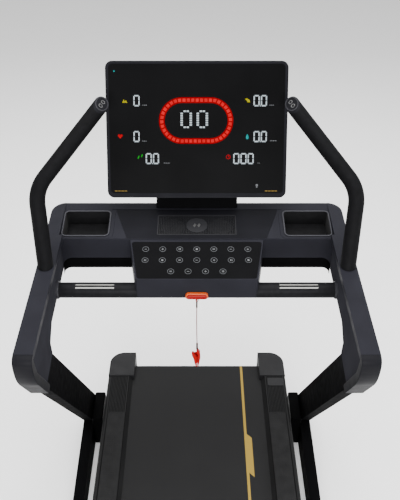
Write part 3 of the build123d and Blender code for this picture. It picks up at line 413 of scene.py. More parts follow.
def make_finishes():
    """One finish for each material slot of the record, and a few for added details."""
    return {
        "black_paint": painted(
            "black_powder_coat",
            (0.003, 0.003, 0.0033),
            rough=(0.55, 0.68),
            shine=0.003,
        ),
        "black_plastic": moulded("black_moulding", (0.0012, 0.0012, 0.0014), shine=0.015),
        "grey_plastic": moulded(
            "grey_moulding",
            (0.0115, 0.0115, 0.0148),
            rough=(0.45, 0.58),
            shine=0.025,
        ),
        "dark_plastic": moulded(
            "dark_moulding",
            (0.0068, 0.0068, 0.0082),
            rough=(0.42, 0.52),
            shine=0.03,
        ),
        "foam": rubbery(
            "foam_sleeve",
            (0.0022, 0.0022, 0.0026),
            rough=(0.6, 0.75),
            sheen=0.008,
            shine=0.06,
        ),
        "bar_sleeve": rubbery(
            "bar_sleeve",
            (0.004, 0.004, 0.005),
            grain=1500,
            bump=0.12,
            rough=(0.42, 0.55),
            shine=0.06,
        ),
        "pulse_metal": metallic("pulse_metal", (0.2, 0.2, 0.188), rough=(0.34, 0.46)),
        "tray_liner": rubbery("tray_liner", (0.004, 0.004, 0.0045), grain=1200, bump=0.15),
        "grille": moulded("grille_mesh", (0.011, 0.011, 0.0125), rough=(0.35, 0.5)),
        "speaker_black": moulded("speaker_cone", (0.008, 0.008, 0.008)),
        "gloss_black": glossy(
            "touch_glass",
            (0.0022, 0.0022, 0.0026),
            rough=(0.3, 0.38),
            coat=0.0,
            shine=0.02,
        ),
        "key_print": lit("key_print", (0.5, 0.52, 0.55), 0.1),
        "deck_laminate": wood_finish(),
        "rail_plastic": rail_finish(),
        "pad_rubber": pad_finish(),
        "cap_plastic": moulded("cap_moulding", (0.0088, 0.0088, 0.0096), rough=(0.4, 0.55)),
        "motor_shell": painted("motor_paint", (0.014, 0.014, 0.016)),
        "heat_sink": metallic(
            "cast_aluminium",
            (0.42, 0.42, 0.43),
            rough=(0.35, 0.55),
            stretch=(200, 200, 200),
        ),
        "belt_fabric": belt_finish(),
        "steel": metallic("turned_steel", (0.5, 0.5, 0.5), stretch=(400, 30, 30)),
        "screen_glass": glossy(
            "screen_glass",
            (0.0028, 0.0028, 0.003),
            rough=(0.3, 0.38),
            coat=0.0,
            shine=0.012,
        ),
        # painted light: a lighter copy of the grey moulding, so the arms' inner panels look lit though the
        # lamps reach them little
        "arm_panel": moulded(
            "arm_panel_moulding_painted_light",
            (0.021, 0.021, 0.025),
            rough=(0.7, 0.8),
            shine=0.0,
        ),
        # painted shade: a darker copy of the grey moulding, standing for the display's shadow on the
        # console's middle panel; the display bezel wears it too
        "middle_panel_painted_shade": moulded(
            "panel_moulding_painted_shade",
            (0.0062, 0.0062, 0.0078),
            rough=(0.42, 0.55),
            shine=0.02,
        ),
        "bezel": moulded("bezel_moulding", (0.016, 0.016, 0.019), rough=(0.3, 0.4), shine=0.2),
        "tray_rim": moulded("tray_rim_moulding", (0.02, 0.02, 0.025), rough=(0.3, 0.4), shine=0.2),
        "badge_silver": metallic("badge_silver", (0.22, 0.22, 0.22), rough=(0.3, 0.45)),
        "key_orange": glossy("key_orange", (0.45, 0.055, 0.0005), rough=(0.25, 0.35)),
        "key_red": glossy("key_red", (0.2, 0.0012, 0.0006), rough=(0.3, 0.4), coat=0.1, shine=0.15),
        "cord_red": rubbery("cord_braid", (0.13, 0.004, 0.008), grain=2600, bump=0.5),
        "cord_sleeve": rubbery(
            "crimp_sleeve",
            (0.02, 0.0012, 0.002),
            grain=1800,
            bump=0.2,
            rough=(0.4, 0.5),
        ),
        "clip_red": glossy(
            "clip_red",
            (0.26, 0.001, 0.0018),
            rough=(0.25, 0.35),
            coat=0.2,
            shine=0.25,
        ),
        "wheel_plastic": moulded("wheel_moulding", (0.014, 0.014, 0.014)),
        "foot_rubber": rubbery("foot_rubber", (0.008, 0.008, 0.008)),
    }


OWN_FINISH = {
    "display_housing": "dark_plastic",
    "crossbar_flanges": "bezel",
    # the arm panels take the lighter moulding, which is painted light
    "arm_panels": "arm_panel",
}


def dress_cad_nodes(finishes):
    """Give every CAD node the finish of its material slot, or its own."""
    for part in frame["record"]["subparts"]:
        mesh = nodes[part["node"]].data
        mesh.materials.clear()
        mesh.materials.append(finishes[OWN_FINISH.get(part["node"], part["material_slot"])])


# ---------------------------------------------------------------- mesh helpers
def rounded(width, height, radius, centre=(0, 0), steps=6):
    """Outline of a rounded rectangle, counterclockwise, in millimetres."""
    points = []
    for quarter, (sign_x, sign_y) in enumerate(((1, 1), (-1, 1), (-1, -1), (1, -1))):
        hub_x = centre[0] + sign_x * (width / 2 - radius)
        hub_y = centre[1] + sign_y * (height / 2 - radius)
        for step in range(steps + 1):
            angle = math.radians(90 * (quarter + step / steps))
            points.append((hub_x + radius * math.cos(angle), hub_y + radius * math.sin(angle)))
    return points


def circle(radius, centre=(0, 0), steps=24):
    """Outline of a circle in millimetres."""
    turns = [math.tau * step / steps for step in range(steps)]
    return [(centre[0] + radius * math.cos(turn), centre[1] + radius * math.sin(turn)) for turn in turns]


def prism(shape, outline, low, high, place):
    """A closed block: a convex or simple outline drawn out between two heights."""
    bottom = [shape.verts.new(place @ (Vector((x, y, low)) * MM)) for x, y in outline]
    top = [shape.verts.new(place @ (Vector((x, y, high)) * MM)) for x, y in outline]
    shape.faces.new(list(reversed(bottom)))
    shape.faces.new(top)
    count = len(outline)
    for index in range(count):
        after = (index + 1) % count
        shape.faces.new((bottom[index], bottom[after], top[after], top[index]))


def band(shape, outer, inner, low, high, place):
    """A closed ring between two outlines that have the same number of points."""
    loops = []
    for outline, height in ((outer, low), (outer, high), (inner, high), (inner, low)):
        loops.append([shape.verts.new(place @ (Vector((x, y, height)) * MM)) for x, y in outline])
    count = len(outer)
    for side in range(4):
        here, there = loops[side], loops[(side + 1) % 4]
        for index in range(count):
            after = (index + 1) % count
            shape.faces.new((here[index], here[after], there[after], there[index]))


def box(shape, low, high, place):
    """A closed box between two corners, in millimetres."""
    outline = [(low[0], low[1]), (high[0], low[1]), (high[0], high[1]), (low[0], high[1])]
    prism(shape, outline, low[2], high[2], place)


def ellipse(half_x, half_y, centre=(0, 0), steps=40):
    """Outline of an ellipse in millimetres."""
    return [(centre[0] + x * half_x, centre[1] + y * half_y) for x, y in circle(1, (0, 0), steps)]


def ring_tube(shape, radius, wire, place, steps=28, sides=10):
    """A closed ring of round wire in the local XY plane."""
    loops = []
    for step in range(steps):
        turn = math.tau * step / steps
        out = Vector((math.cos(turn), math.sin(turn), 0))
        loop = []
        for x, y in circle(wire, (0, 0), sides):
            loop.append(shape.verts.new(place @ ((out * (radius + x) + Vector((0, 0, y))) * MM)))
        loops.append(loop)
    for index in range(steps):
        here, there = loops[index], loops[(index + 1) % steps]
        for side in range(sides):
            after = (side + 1) % sides
            shape.faces.new((here[side], here[after], there[after], there[side]))


def lathe(shape, profile, place, steps=32):
    """A turned shape: radius and height pairs swept round the local Z axis."""
    loops = []
    for radius, height in profile:
        outline = circle(radius, (0, 0), steps)
        loops.append([shape.verts.new(place @ (Vector((x, y, height)) * MM)) for x, y in outline])
    for lower, upper in zip(loops, loops[1:]):
        for index in range(steps):
            after = (index + 1) % steps
            shape.faces.new((lower[index], lower[after], upper[after], upper[index]))
    shape.faces.new(list(reversed(loops[0])))
    shape.faces.new(loops[-1])


def make_piece(name, shape, body, finish, bevel=0.0, smooth_angle=40):
    """Turn a shape into a piece that rides on a body."""
    mesh = bpy.data.meshes.new(name)
    bmesh.ops.recalc_face_normals(shape, faces=shape.faces)
    shape.to_mesh(mesh)
    shape.free()
    mesh.materials.append(finish)
    mesh.shade_smooth()
    mesh.set_sharp_from_angle(angle=math.radians(smooth_angle))
    piece = bpy.data.objects.new(name, mesh)
    bpy.context.scene.collection.objects.link(piece)
    if bevel:
        soften(piece, bevel)
    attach(piece, body)
    return piece


def soften(piece, width, segments=2):
    """Round the sharp edges, so that they catch the light."""
    weld = piece.modifiers.new("weld", "WELD")
    weld.merge_threshold = 0.00002
    bevel = piece.modifiers.new("soften", "BEVEL")
    bevel.width = width * MM
    bevel.segments = segments
    bevel.limit_method = "ANGLE"
    bevel.angle_limit = math.radians(38)
    bevel.use_clamp_overlap = True
    bevel.harden_normals = True


def face_place(node, pitch, thickness, sink=0.0):
    """Matrix of a slab's front face: X across, Y up the slope and Z out of it."""
    low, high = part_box(node)
    slope = math.radians(pitch)
    up = Vector((0, math.cos(slope), math.sin(slope)))
    out = Vector((0, -math.sin(slope), math.cos(slope)))
    centre = (low + high) / 2 + out * (thickness / 2 + sink) * MM
    place = Matrix.Translation(centre)
    place.col[1].xyz = up
    place.col[2].xyz = out
    return place


DISPLAY_PITCH = 64.0
GLASS_THICKNESS = 2.5
CONSOLE_PITCH = 8.515
GRILLE_THICKNESS = 2.5
GRILLE_SINK = 2.0
PAD_PITCH = 13.595
display_face = face_place("display_glass", DISPLAY_PITCH, GLASS_THICKNESS)
console_face = face_place("speaker_grille", CONSOLE_PITCH, GRILLE_THICKNESS, GRILLE_SINK)
pad_face = face_place("touch_panel", PAD_PITCH, GLASS_THICKNESS)


# ---------------------------------------------------------------- display contents
LED_LOW = -0.2
LED_HIGH = 0.25


def mark(shape, outline):
    """A flat lit shape on the screen."""
    prism(shape, outline, LED_LOW, LED_HIGH, display_face)


def mark_box(shape, left, bottom, right, top):
    """A flat lit rectangle on the screen."""
    box(shape, (left, bottom, LED_LOW), (right, top, LED_HIGH), display_face)


def stadium_point(length_along, radius, straight):
    """Point and outward direction on a stadium's middle line."""
    arc = math.pi * radius
    total = 2 * straight + 2 * arc
    travel = length_along % total
    if travel < straight:
        return Vector((travel - straight / 2, radius)), Vector((0, 1))
    travel -= straight
    if travel < arc:
        turn = math.pi / 2 - travel / radius
        out = Vector((math.cos(turn), math.sin(turn)))
        return Vector((straight / 2, 0)) + out * radius, out
    travel -= arc
    if travel < straight:
        return Vector((straight / 2 - travel, -radius)), Vector((0, -1))
    travel -= straight
    turn = -math.pi / 2 - travel / radius
    out = Vector((math.cos(turn), math.sin(turn)))
    return Vector((-straight / 2, 0)) + out * radius, out


RING_CENTRE = Vector((-2.1, 30.8))
RING_RADIUS = 64.4
RING_STRAIGHT = 91.4
RING_CELLS = 42
CELL_SHARE = 0.72
CELL_THICKNESS = 10.5
CELL_HIGH = 0.3
HALO_THICKNESS = 18.2
HALO_HIGH = 0.05


def ring_cells(shape, share, thickness, low, high):
    """The oval ring's LED cells, each a short piece of the ring."""
    total = 2 * RING_STRAIGHT + math.tau * RING_RADIUS
    pitch = total / RING_CELLS
    for cell in range(RING_CELLS):
        middle = (cell + 0.5) * pitch
        inner, outer = [], []
        for part in (-0.5, 0, 0.5):
            point, out = stadium_point(middle + part * pitch * share, RING_RADIUS, RING_STRAIGHT)
            outer.append(tuple(RING_CENTRE + point + out * thickness / 2))
            inner.append(tuple(RING_CENTRE + point - out * thickness / 2))
        prism(shape, outer + list(reversed(inner)), low, high, display_face)


DIGIT_WIDTH = 19.5
DIGIT_HEIGHT = 35
DIGIT_PITCH = 23.2
DIGIT_STROKE = 3.9


def segment_zero(shape, left, bottom):
    """A seven-segment nought: six bars with slanted ends."""
    stroke = DIGIT_STROKE
    gap = stroke * 0.14
    nip = stroke / 2
    right, top = left + DIGIT_WIDTH, bottom + DIGIT_HEIGHT
    middle = (bottom + top) / 2
    for y, inward in ((top, -1), (bottom, 1)):
        outline = [
            (left + nip + gap, y),
            (right - nip - gap, y),
            (right - nip * 2 - gap, y + inward * stroke),
            (left + nip * 2 + gap, y + inward * stroke),
        ]
        mark(shape, outline)
    for x, inward in ((left, 1), (right, -1)):
        for far, near in ((top, middle), (bottom, middle)):
            toward = 1 if far < near else -1
            outline = [
                (x, far + toward * (nip + gap)),
                (x + inward * stroke, far + toward * (nip * 2 + gap)),
                (x + inward * stroke, near - toward * (nip * 0.7 + gap)),
                (x, near - toward * gap),
            ]
            mark(shape, outline)


DOT_NOUGHT = (
    ".##.",
    "#..#",
    "#..#",
    "#..#",
    "#..#",
    "#..#",
    "#..#",
    ".##.",
)
DOT_PITCH = (9.7, 7.2)
DOT_SIZE = (7.4, 5.0)


def dot_nought(shape, left, top):
    """A dot-matrix nought."""
    for row, dots in enumerate(DOT_NOUGHT):
        for column, dot in enumerate(dots):
            if dot == "#":
                x = left + column * DOT_PITCH[0]
                y = top - row * DOT_PITCH[1]
                mark_box(shape, x, y - DOT_SIZE[1], x + DOT_SIZE[0], y)


READOUTS = (
    (-202, 76, 1),
    (-203.5, -37, 1),
    (-165, -107.5, 2),
    (181, 76, 2),
    (182.5, -37, 2),
    (118, -107.5, 3),
)
DECIMAL_POINTS = ((-144.6, -107.5), (201.4, 76), (202.9, -37))
POINT_SIZE = 2.6
MIDDLE_NOUGHTS = (-52, -0.5)
MIDDLE_TOP = 63
UNIT_MARKS = (
    (-174, 78.5, 16),
    (-176, -35, 16),
    (-107, -105.5, 21),
    (232, 78.5, 15),
    (236, -34, 22),
    (196.5, -105.5, 9),
)
UNIT_PARTS = 3
UNIT_GAP = 1.4
UNIT_HEIGHT = 2.2
KNOB_CENTRE = (195.2, -176)
DASH_STARTS = (-267, 222)
DASH_COUNT = 4
DASH_PITCH = 10.3
DASH_LENGTH = 8.8
DASH_BOTTOM = -196
DASH_TOP = -193.8
MOUNTAIN = [(-238, 87), (-221, 87), (-226, 95), (-230, 91.5), (-233, 98)]
SHOE = [(153, 99), (160, 93), (161, 88.5), (170, 88.5), (168, 96), (160, 101)]
HEART_CENTRE = (-246.2, -18.3)
CLOCK_CENTRE = (101.8, -84.4)
DROP_CENTRE = (162.2, -19.6)
STANDBY_CENTRE = (-262.1, 184.9)
FOOTPRINTS = ((-192, -89), (-181, -84))


def heart(centre, size):
    """Outline of a heart."""
    points = []
    for step in range(28):
        turn = math.tau * step / 28
        x = 16 * math.sin(turn) ** 3
        y = 13 * math.cos(turn) - 5 * math.cos(2 * turn) - 2 * math.cos(3 * turn) - math.cos(4 * turn)
        points.append((centre[0] + x * size / 32, centre[1] + y * size / 32))
    return points


def drop(centre, size):
    """Outline of a flame or drop with a pointed top."""
    points = []
    for step in range(24):
        turn = math.tau * step / 24
        narrow = 0.34 * size * math.sin(turn) * math.sin(turn / 2)
        points.append((centre[0] + narrow, centre[1] + 0.5 * size * math.cos(turn)))
    return points


def build_led_ring():
    """The lit oval of cells and the dim band under it."""
    ring = bmesh.new()
    ring_cells(ring, CELL_SHARE, CELL_THICKNESS, HALO_HIGH, CELL_HIGH)
    make_piece("led_ring", ring, "display", lit("led_red", (1.0, 0.01, 0.02), 0.7, 0.22))
    halo = bmesh.new()
    ring_cells(halo, 1.0, HALO_THICKNESS, LED_LOW, HALO_HIGH)
    make_piece("led_ring_halo", halo, "display", lit("led_dark_red", (0.6, 0.0, 0.006), 0.3))


def build_readouts():
    """White noughts with decimal points, and short grey bars in place of words."""
    digits = bmesh.new()
    for left, bottom, count in READOUTS:
        for place in range(count):
            segment_zero(digits, left + place * DIGIT_PITCH, bottom)
    for left, bottom in DECIMAL_POINTS:
        mark_box(digits, left, bottom, left + POINT_SIZE, bottom + POINT_SIZE)
    for left in MIDDLE_NOUGHTS:
        dot_nought(digits, left, MIDDLE_TOP)
    make_piece("led_digits", digits, "display", lit("led_white", (0.7, 0.8, 0.86), 0.75))
    units = bmesh.new()
    for left, y, length in UNIT_MARKS:
        for part in range(UNIT_PARTS):
            start = left + part * length / UNIT_PARTS
            mark_box(units, start, y, start + length / UNIT_PARTS - UNIT_GAP, y + UNIT_HEIGHT)
    mark_box(units, 193, -184, 197.5, -178)
    mark(units, circle(4, KNOB_CENTRE))
    make_piece("unit_marks", units, "display", lit("mark_grey", (0.5, 0.52, 0.55), 0.1))


def build_screen_edge(finishes):
    """Two rows of gold dashes along the bottom, and the bezel round the screen."""
    dashes = bmesh.new()
    for start in DASH_STARTS:
        for part in range(DASH_COUNT):
            left = start + part * DASH_PITCH
            mark_box(dashes, left, DASH_BOTTOM, left + DASH_LENGTH, DASH_TOP)
    make_piece("gold_dashes", dashes, "display", lit("mark_gold", (0.7, 0.45, 0.1), 0.3))
    bezel = bmesh.new()
    band(bezel, rounded(573, 426, 18), rounded(561, 410, 12, (0, 3)), -0.2, 0.4, display_face)
    make_piece("display_bezel", bezel, "display", finishes["middle_panel_painted_shade"], bevel=0.15)


def build_coloured_marks():
    """Small generic pictures beside the noughts, one piece to a colour."""
    yellow = bmesh.new()
    mark(yellow, MOUNTAIN)
    mark(yellow, SHOE)
    make_piece("yellow_marks", yellow, "display", lit("mark_yellow", (0.8, 0.7, 0.01), 0.35))
    red = bmesh.new()
    mark(red, heart(HEART_CENTRE, 16))
    band(red, circle(7.2, CLOCK_CENTRE), circle(5.6, CLOCK_CENTRE), LED_LOW, LED_HIGH, display_face)
    mark_box(red, 101, -84.6, 102.4, -79.6)
    mark_box(red, 102.4, -85.6, 105.4, -84.2)
    make_piece("red_marks", red, "display", lit("mark_red", (0.9, 0.006, 0.016), 0.4))
    teal = bmesh.new()
    mark(teal, drop(DROP_CENTRE, 17))
    mark(teal, circle(2.4, STANDBY_CENTRE))
    make_piece("teal_marks", teal, "display", lit("mark_teal", (0.01, 0.6, 0.6), 0.3))
    green = bmesh.new()
    for left, bottom in FOOTPRINTS:
        mark(green, [(left, bottom), (left + 4, bottom - 2), (left + 7, bottom + 7), (left + 4, bottom + 9)])
    make_piece("green_marks", green, "display", lit("mark_green", (0.01, 0.6, 0.03), 0.3))


# ---------------------------------------------------------------- console details
TRAY_CENTRE = (366, 6)
SURROUND_CENTRE = (360.2, 3.8)
SURROUND_OUTER = (171, 139, 23)
SURROUND_INNER = (160, 125, 17.5)
RIM_OUTER = (158, 123, 16.5)
RIM_INNER = (149, 114, 12)
PANEL_FRONT = -65.5
PANEL_REAR = 75.5
PANEL_FRONT_HALF = 228
PANEL_REAR_HALF = 273.5
LATTICE_PITCH = 5.6
LATTICE_BAR = 1.5
GRILLE_HALF_X = 130.4
GRILLE_HALF_Y = 47.9
GRILLE_EDGE = 3.5
BADGE_RADIUS = 35
BADGE_RIM = 2


def build_console_details(finishes):
    """Raised tray surrounds, the edges of the sunk middle panel, and the rear ledge."""
    surrounds = bmesh.new()
    for side in (-1, 1):
        outer = rounded(*SURROUND_OUTER, (side * SURROUND_CENTRE[0], SURROUND_CENTRE[1]))
        inner = rounded(*SURROUND_INNER, (side * TRAY_CENTRE[0], TRAY_CENTRE[1]))
        band(surrounds, outer, inner, -0.3, 1.0, console_face)
    make_piece("tray_surrounds", surrounds, "base", finishes["grey_plastic"], bevel=0.5)
    rims = bmesh.new()
    for side in (-1, 1):
        centre = (side * TRAY_CENTRE[0], TRAY_CENTRE[1])
        band(rims, rounded(*RIM_OUTER, centre), rounded(*RIM_INNER, centre), 1.5, 3.4, console_face)
    make_piece("tray_rims", rims, "base", finishes["tray_rim"], bevel=0.9)
    facets = bmesh.new()
    for side in (-1, 1):
        corners = [
            (side * PANEL_FRONT_HALF, PANEL_FRONT),
            (side * PANEL_REAR_HALF, PANEL_FRONT),
            (side * PANEL_REAR_HALF, PANEL_REAR - 2),
        ]
        prism(facets, corners, -0.3, 1.1, console_face)
    # the sunk middle panel is real, but its darker moulding is painted shade from the display above it
    middle = bmesh.new()
    trapezoid = [
        (-PANEL_FRONT_HALF, PANEL_FRONT),
        (PANEL_FRONT_HALF, PANEL_FRONT),
        (PANEL_REAR_HALF, PANEL_REAR),
        (-PANEL_REAR_HALF, PANEL_REAR),
    ]
    opening = [(-130, -48), (130, -48), (130, 48), (-130, 48)]
    band(middle, trapezoid, opening, -0.3, 0.4, console_face)
    make_piece("middle_panel_painted_shade", middle, "base", finishes["middle_panel_painted_shade"])
    ledge = [
        (-287, PANEL_REAR),
        (287, PANEL_REAR),
        (287, 104),
        (138, 104),
        (138, 82),
        (-138, 82),
        (-138, 104),
        (-287, 104),
    ]
    prism(facets, ledge, -0.3, 1.6, console_face)
    make_piece("console_facets", facets, "base", finishes["grey_plastic"], bevel=0.6)


def build_grille(finishes):
    """Speaker grille: a raised frame round a square lattice, with a plain round badge."""
    lattice = bmesh.new()
    half_x, half_y = GRILLE_HALF_X, GRILLE_HALF_Y
    frame_outer = rounded(2 * half_x, 2 * half_y, 5.6)
    frame_inner = rounded(2 * (half_x - GRILLE_EDGE), 2 * (half_y - GRILLE_EDGE), 3)
    band(lattice, frame_outer, frame_inner, -4.4, 0.8, console_face)
    half_bar = LATTICE_BAR / 2
    reach_x, reach_y = half_x - 3.2, half_y - 3.2
    columns = int((half_x - 3) / LATTICE_PITCH)
    for column in range(-columns, columns + 1):
        x = column * LATTICE_PITCH
        box(lattice, (x - half_bar, -reach_y, -4), (x + half_bar, reach_y, -2.4), console_face)
    rows = int((half_y - 3) / LATTICE_PITCH)
    for row in range(-rows, rows + 1):
        y = row * LATTICE_PITCH
        box(lattice, (-reach_x, y - half_bar, -4.2), (reach_x, y + half_bar, -2.6), console_face)
    grille = make_piece("grille_lattice", lattice, "base", finishes["grille"])
    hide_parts("speaker_grille")
    badge = bmesh.new()
    disc = circle(BADGE_RADIUS, steps=48)
    prism(badge, disc, -3, -1.8, console_face)
    band(badge, disc, circle(BADGE_RADIUS - BADGE_RIM, steps=48), -1.8, -1.2, console_face)
    make_piece("badge_disc", badge, "base", finishes["grille"], bevel=0.3)
    mark = bmesh.new()
    for left in (-13, 1):
        corners = [(left, -2), (left + 6, -9), (left + 12, 2), (left + 6, 9)]
        prism(mark, corners, -1.9, -1.2, console_face)
    make_piece("badge_mark", mark, "base", finishes["badge_silver"], bevel=0.3)


KEY_PITCH = 54.75
KEY_ROWS = ((44.1, 7), (-1.1, 7), (-46.3, 4))
KEY_GLYPHS = (
    ((-4, -0.8, 4, 0.8),),
    ((-4, -0.8, 4, 0.8), (-0.8, -4, 0.8, 4)),
    ((-3.4, -3.6, -1.2, 3.6), (1.2, -3.6, 3.4, 3.6)),
    ((-3.2, -3.2, 3.2, 3.2),),
    ((-4.2, 1, 4.2, 2.4), (-4.2, -2.4, 4.2, -1)),
)


def build_key_marks():
    """A small generic mark inside the ring of every touch key."""
    marks = bmesh.new()
    number = 0
    for y, count in KEY_ROWS:
        for column in range(count):
            x = (column - (count - 1) / 2) * KEY_PITCH
            for left, bottom, right, top in KEY_GLYPHS[number % len(KEY_GLYPHS)]:
                box(marks, (x + left, y + bottom, -0.2), (x + right, y + top, 0.3), pad_face)
            number += 1
    make_piece("key_marks", marks, "base", lit("key_marks", (0.7, 0.72, 0.75), 0.16))


# ---------------------------------------------------------------- handlebar details
CAP_NORMAL = Vector((-0.61, -0.216, 0.762)).normalized()
CAP_HALF_WIDTH = 24
CAP_HALF_LENGTH = 37.9


def cap_place(side):
    """Matrix of a handlebar's sloping end face, from the cap's own vertices."""
    normal = Vector((CAP_NORMAL.x * side, CAP_NORMAL.y, CAP_NORMAL.z))
    points = [vertex.co for vertex in nodes["handlebar_caps"].data.vertices if vertex.co.x * side > 0]
    top = max(point.dot(normal) for point in points)
    face = [point for point in points if point.dot(normal) > top - 0.0002]
    low = Vector([min(point[axis] for point in face) for axis in range(3)])
    high = Vector([max(point[axis] for point in face) for axis in range(3)])
    bar = Vector((-0.573 * side, 0.612, 0.546))
    long_axis = (bar - normal * bar.dot(normal)).normalized()
    place = Matrix.Translation((low + high) / 2)
    place.col[0].xyz = long_axis.cross(normal)
    place.col[1].xyz = long_axis
    place.col[2].xyz = normal
    return place


def build_handlebar_details(finishes):
    """Rims and plain marks on the handlebars' end caps."""
    rims = bmesh.new()
    marks = bmesh.new()
    for side in (-1, 1):
        place = cap_place(side)
        outer = ellipse(CAP_HALF_WIDTH - 2.6, CAP_HALF_LENGTH - 4)
        inner = ellipse(CAP_HALF_WIDTH - 6, CAP_HALF_LENGTH - 8.5)
        band(rims, outer, inner, -0.4, 1.2, place)
        for turn in (-1, 1):
            centre = (0, turn * 11)
            band(marks, ellipse(7, 8, centre), ellipse(4.6, 5.6, centre), -0.3, 0.6, place)
    make_piece("cap_rims", rims, "base", finishes["bezel"], bevel=0.4)
    make_piece("cap_marks", marks, "base", finishes["badge_silver"], bevel=0.2)


# ---------------------------------------------------------------- small fittings
UPRIGHT = Matrix.Identity(4)


def facing(centre, out, up):
    """Matrix whose Z points out of a face and whose Y points up it, from millimetres."""
    out = Vector(out)
    up = Vector(up)
    place = Matrix.Translation(Vector(centre) * MM)
    place.col[0].xyz = up.cross(out)
    place.col[1].xyz = up
    place.col[2].xyz = out
    return place


def bolt(shape, place):
    """A hexagon bolt head on its washer."""
    lathe(shape, [(8.6, -0.3), (8.6, 0.9), (8, 1.3)], place)
    prism(shape, circle(5.8, (0, 0), 6), 1.1, 3.9, place)


POST_BOLTS = ((672, 180), (706, 196))
BEAM_BOLTS = (-640, 130, 560)
BEAM_BOLT_Z = 38


def build_bolts(finishes):
    """Bolt heads on the outer sides of the posts and of the floor beams."""
    bolts = bmesh.new()
    post_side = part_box("post_right")[1].x / MM
    beam_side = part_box("base_beam_right")[1].x / MM
    for side in (-1, 1):
        for y, z in POST_BOLTS:
            bolt(bolts, facing((side * post_side, y, z), (side, 0, 0), (0, 0, 1)))
        for y in BEAM_BOLTS:
            bolt(bolts, facing((side * beam_side, y, BEAM_BOLT_Z), (side, 0, 0), (0, 0, 1)))
    make_piece("bolt_heads", bolts, "base", finishes["bezel"], bevel=0.3, smooth_angle=30)


HUB_PROFILE = [(15, -0.3), (15, 1), (12.5, 2.2), (8, 2.2), (7, 1.2)]


def build_wheel_hubs(finishes):
    """A raised hub on the inner face of each transport wheel."""
    for side, label in ((-1, "left"), (1, "right")):
        node = f"transport_wheel_{label}"
        low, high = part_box(node)
        inner = (low.x if side > 0 else high.x) / MM
        hub = bmesh.new()
        centre = (inner, (low.y + high.y) / 2 / MM, (low.z + high.z) / 2 / MM)
        lathe(hub, HUB_PROFILE, facing(centre, (-side, 0, 0), (0, 0, 1)))
        make_piece(f"wheel_hub_{label}", hub, node, finishes["bezel"], bevel=0.3)


VENT_PITCH = 13
VENT_HALF_WIDTH = 2.4
VENT_HALF_HEIGHT = 32
VENT_ROW_Y = 105
VENTS_EACH_SIDE = 11


def build_vents(finishes):
    """Two rows of upright slots in the back of the display, drawn as thin black boxes: painted shade for the
    hollow behind them.
    """
    vents = bmesh.new()
    for row in (1, -1):
        y = row * VENT_ROW_Y
        for column in range(-VENTS_EACH_SIDE, VENTS_EACH_SIDE + 1):
            x = column * VENT_PITCH
            low = (x - VENT_HALF_WIDTH, y - VENT_HALF_HEIGHT, -30.4)
            high = (x + VENT_HALF_WIDTH, y + VENT_HALF_HEIGHT, -29.7)
            box(vents, low, high, display_face)
    make_piece("display_vents", vents, "display", finishes["black_paint"], bevel=0.2)


def build_rail_plate(finishes):
    """The small plate near the front of the right-hand rail."""
    plate = bmesh.new()
    rail_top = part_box("side_rails")[1].z / MM
    prism(plate, rounded(68, 44, 6, (333, 678)), rail_top - 0.4, rail_top + 2.2, UPRIGHT)
    make_piece("rail_plate", plate, "deck", finishes["cap_plastic"], bevel=1)


def stadium(width, height):
    """Outline of a slot with round ends."""
    return rounded(width, height, height / 2 - 0.01, steps=10)


KEY_DEPTH = 7
LOOP_RADIUS = 4.6
LOOP_WIRE = 0.8
CLIP_BACK = [(-9, -257), (3, -253), (9, -271), (4.5, -299), (1, -307), (-3.5, -308), (-9, -289), (-12, -271)]


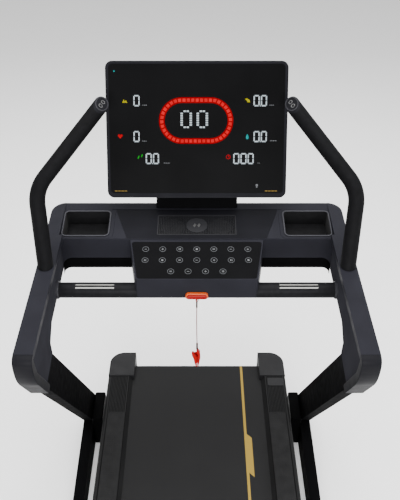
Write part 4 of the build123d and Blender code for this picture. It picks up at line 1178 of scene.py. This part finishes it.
def build_key_details(finishes):
    """Orange surround and wire loop of the safety key, and the clip's metal tip and back plate."""
    low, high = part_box("safety_key")
    surround = bmesh.new()
    face = facing((0, low.y / MM + KEY_DEPTH, high.z / MM - 10.5), (0, -1, 0), (0, 0, 1))
    band(surround, stadium(72.2, 22.2), stadium(62.6, 13.6), -7.4, 2.2, face)
    make_piece("key_surround", surround, "safety_key", finishes["key_orange"], bevel=0.9)
    loop = bmesh.new()
    ring_tube(loop, LOOP_RADIUS, LOOP_WIRE, facing((1, 303, low.z / MM + 3), (0, -1, 0), (0, 0, 1)))
    make_piece("key_loop", loop, "safety_key", finishes["pulse_metal"])
    tip = bmesh.new()
    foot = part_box("clip_body")[0].z / MM
    box(tip, (1.6, 300.5, foot - 4), (4.2, 305.5, foot + 3), UPRIGHT)
    make_piece("clip_tip", tip, "safety_key", finishes["pulse_metal"], bevel=0.4)
    back = bmesh.new()
    prism(back, CLIP_BACK, -12, -9.8, face)
    make_piece("clip_back", back, "safety_key", finishes["clip_red"], bevel=0.4)


# ---------------------------------------------------------------- lanyard
CORD_ROUTE = [(0, 0.303, 1.075), (-0.0012, 0.303, 1.000), (0.0008, 0.303, 0.916)]
CORD_RADIUS = 0.0015


def build_cord(finish):
    """The safety key's cord, hanging from the crimp to the ferrule."""
    data = bpy.data.curves.new("lanyard", "CURVE")
    data.dimensions = "3D"
    data.bevel_depth = CORD_RADIUS
    data.bevel_resolution = 4
    data.use_fill_caps = True
    spline = data.splines.new("NURBS")
    spline.points.add(len(CORD_ROUTE) - 1)
    for point, place in zip(spline.points, CORD_ROUTE):
        point.co = (*place, 1)
    spline.order_u = 3
    spline.use_endpoint_u = True
    spline.resolution_u = 24
    data.materials.append(finish)
    cord = bpy.data.objects.new("lanyard", data)
    bpy.context.scene.collection.objects.link(cord)
    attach(cord, "safety_key")
    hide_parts("lanyard_cord")


SOFTENED = {
    "console_top": 1.0,
    "console_bottom": 1.5,
    "keypad_housing": 1.5,
    "arm_cover_left": 5,
    "arm_cover_right": 5,
    "knee_cap_left": 5,
    "knee_cap_right": 5,
    "foot_blocks": 1,
    "display_neck": 1,
    "post_left": 1,
    "post_right": 1,
}


make_camera()
finishes = make_finishes()
build_cord(finishes["cord_red"])
make_studio()
make_floor()
dress_cad_nodes(finishes)
for node, width in SOFTENED.items():
    soften(nodes[node], width, 3)
build_led_ring()
build_readouts()
build_screen_edge(finishes)
build_coloured_marks()
build_console_details(finishes)
build_grille(finishes)
build_key_marks()
build_handlebar_details(finishes)
build_bolts(finishes)
build_wheel_hubs(finishes)
build_vents(finishes)
build_rail_plate(finishes)
build_key_details(finishes)
